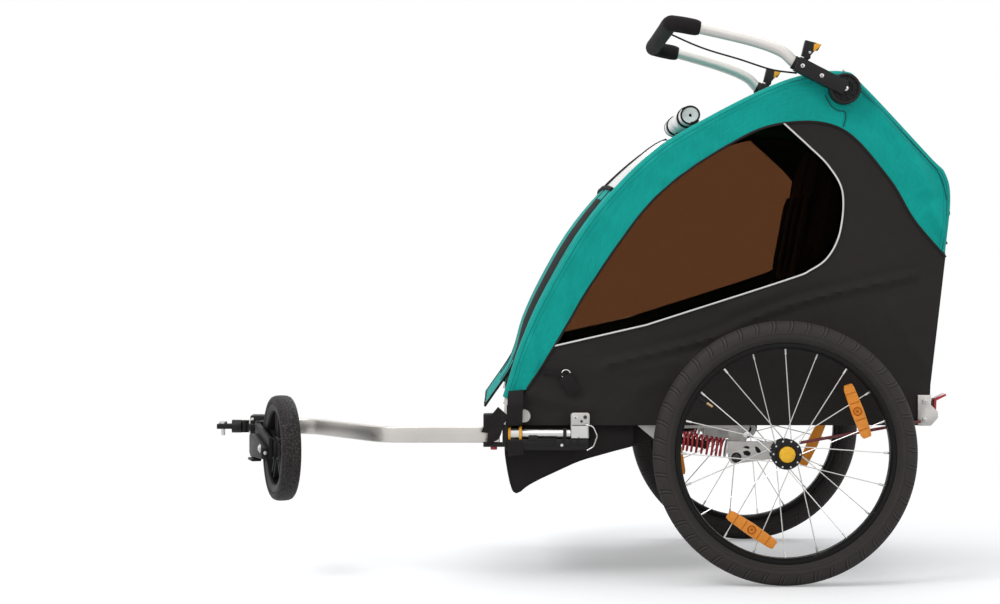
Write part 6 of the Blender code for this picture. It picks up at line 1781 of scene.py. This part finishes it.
tip_profile = [(0, 0.0), (0.0030, 0.0), (0.0036, 0.0006), (0.0036, 0.0050), (0.0030, 0.0056), (0, 0.0056)]
tip_piece = turned("button_tip", tip_profile, (0, 0), 0, 24, ring=False)
low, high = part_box("tow_pin_button")
tip_piece.data.transform(
    Matrix.Translation((-0.16085, -0.3108, low[2] + 0.0006)) @ Matrix.Rotation(math.pi / 2, 4, "X")
    @ Matrix.Rotation(math.pi, 4, "X")
)
dress(tip_piece, grey, "pin_button")
patch_white = Finish("reflective_tape", (0.62, 0.60, 0.58), 0.35, Metallic=0.2)
cells = patch_white.out(
    patch_white.node("TexVoronoi", Vector=patch_white.place(), Scale=1 / 0.003), "Distance"
)
patch_white.paint(patch_white.mixed(patch_white.step(cells, 0.0, 0.6), (0.5, 0.48, 0.46), (0.78, 0.76, 0.74)))
patch_white.raise_by(cells, 0.0003, 0.6)
tape_rows = []
for z in (0.211, 0.204, 0.197, 0.190, 0.182):
    x = -0.1389 + max(0, 0.23801 - z) / 0.06095 * 0.01194 - 0.0016
    tape_rows.append([Vector((x, y, z)) for y in (-0.2760, -0.2700, -0.14, 0, 0.14, 0.2700, 0.2760)])
tape = sheet_from("footwell_reflective_tape", tape_rows)
sewn(tape, 0.0008)
dress(tape, patch_white, "base")
for word, side in (("left", -1), ("right", 1)):
    tub_edge = smooth([(-0.1375, 0.2940), (-0.1380, 0.2400), (-0.1262, 0.1785), (-0.1180, 0.1670)], 5)
    tub_edge += smooth(
        [(-0.1150, 0.1662), (-0.0850, 0.1880), (0.0035, 0.2290), (0.0995, 0.2560), (0.1060, 0.2575)], 5
    )[1:]
    line = [(at.x, side * 0.2824, at.y) for at in tub_edge]
    dress(wire(f"footwell_seam_{word}", line, 0.0017, 2), tub_cloth, "base")


# Small fittings at the rear: on each side a small hook at the cover's rear edge, a short cord loop
# beside it on the rear wall and a bright pin on the handlebar's hub.

HOOK = [(0.7180, 0.7160), (0.7215, 0.7130), (0.7235, 0.7060), (0.7215, 0.7010), (0.7180, 0.7000)]
LOOP = [
    (0.7090, 0.2600, 0.6620), (0.7125, 0.2590, 0.6540), (0.7165, 0.2560, 0.6470),
    (0.7150, 0.2530, 0.6480), (0.7100, 0.2540, 0.6580)
]
for word, side in (("left", -1), ("right", 1)):
    hook_path = smooth([(x, side * 0.2400, z) for x, z in HOOK], 5)
    dress(wire(f"cover_hook_{word}", hook_path, 0.0024, 3), seam_shadow_and_hook_teal, "cage")
    loop_path = smooth([(x, side * y, z) for x, y, z in LOOP], 5)
    dress(wire(f"wall_cord_loop_{word}", loop_path, 0.0013, 2), webbing, "cage")
for word, side in (("left", -1), ("right", 1)):
    pin = disc(f"hub_pin_{word}", (0.5110, 0.9790), side * 0.2920, 0.0030, side * 0.0030, 16, 0.0006)
    dress(pin, steel, "cage")
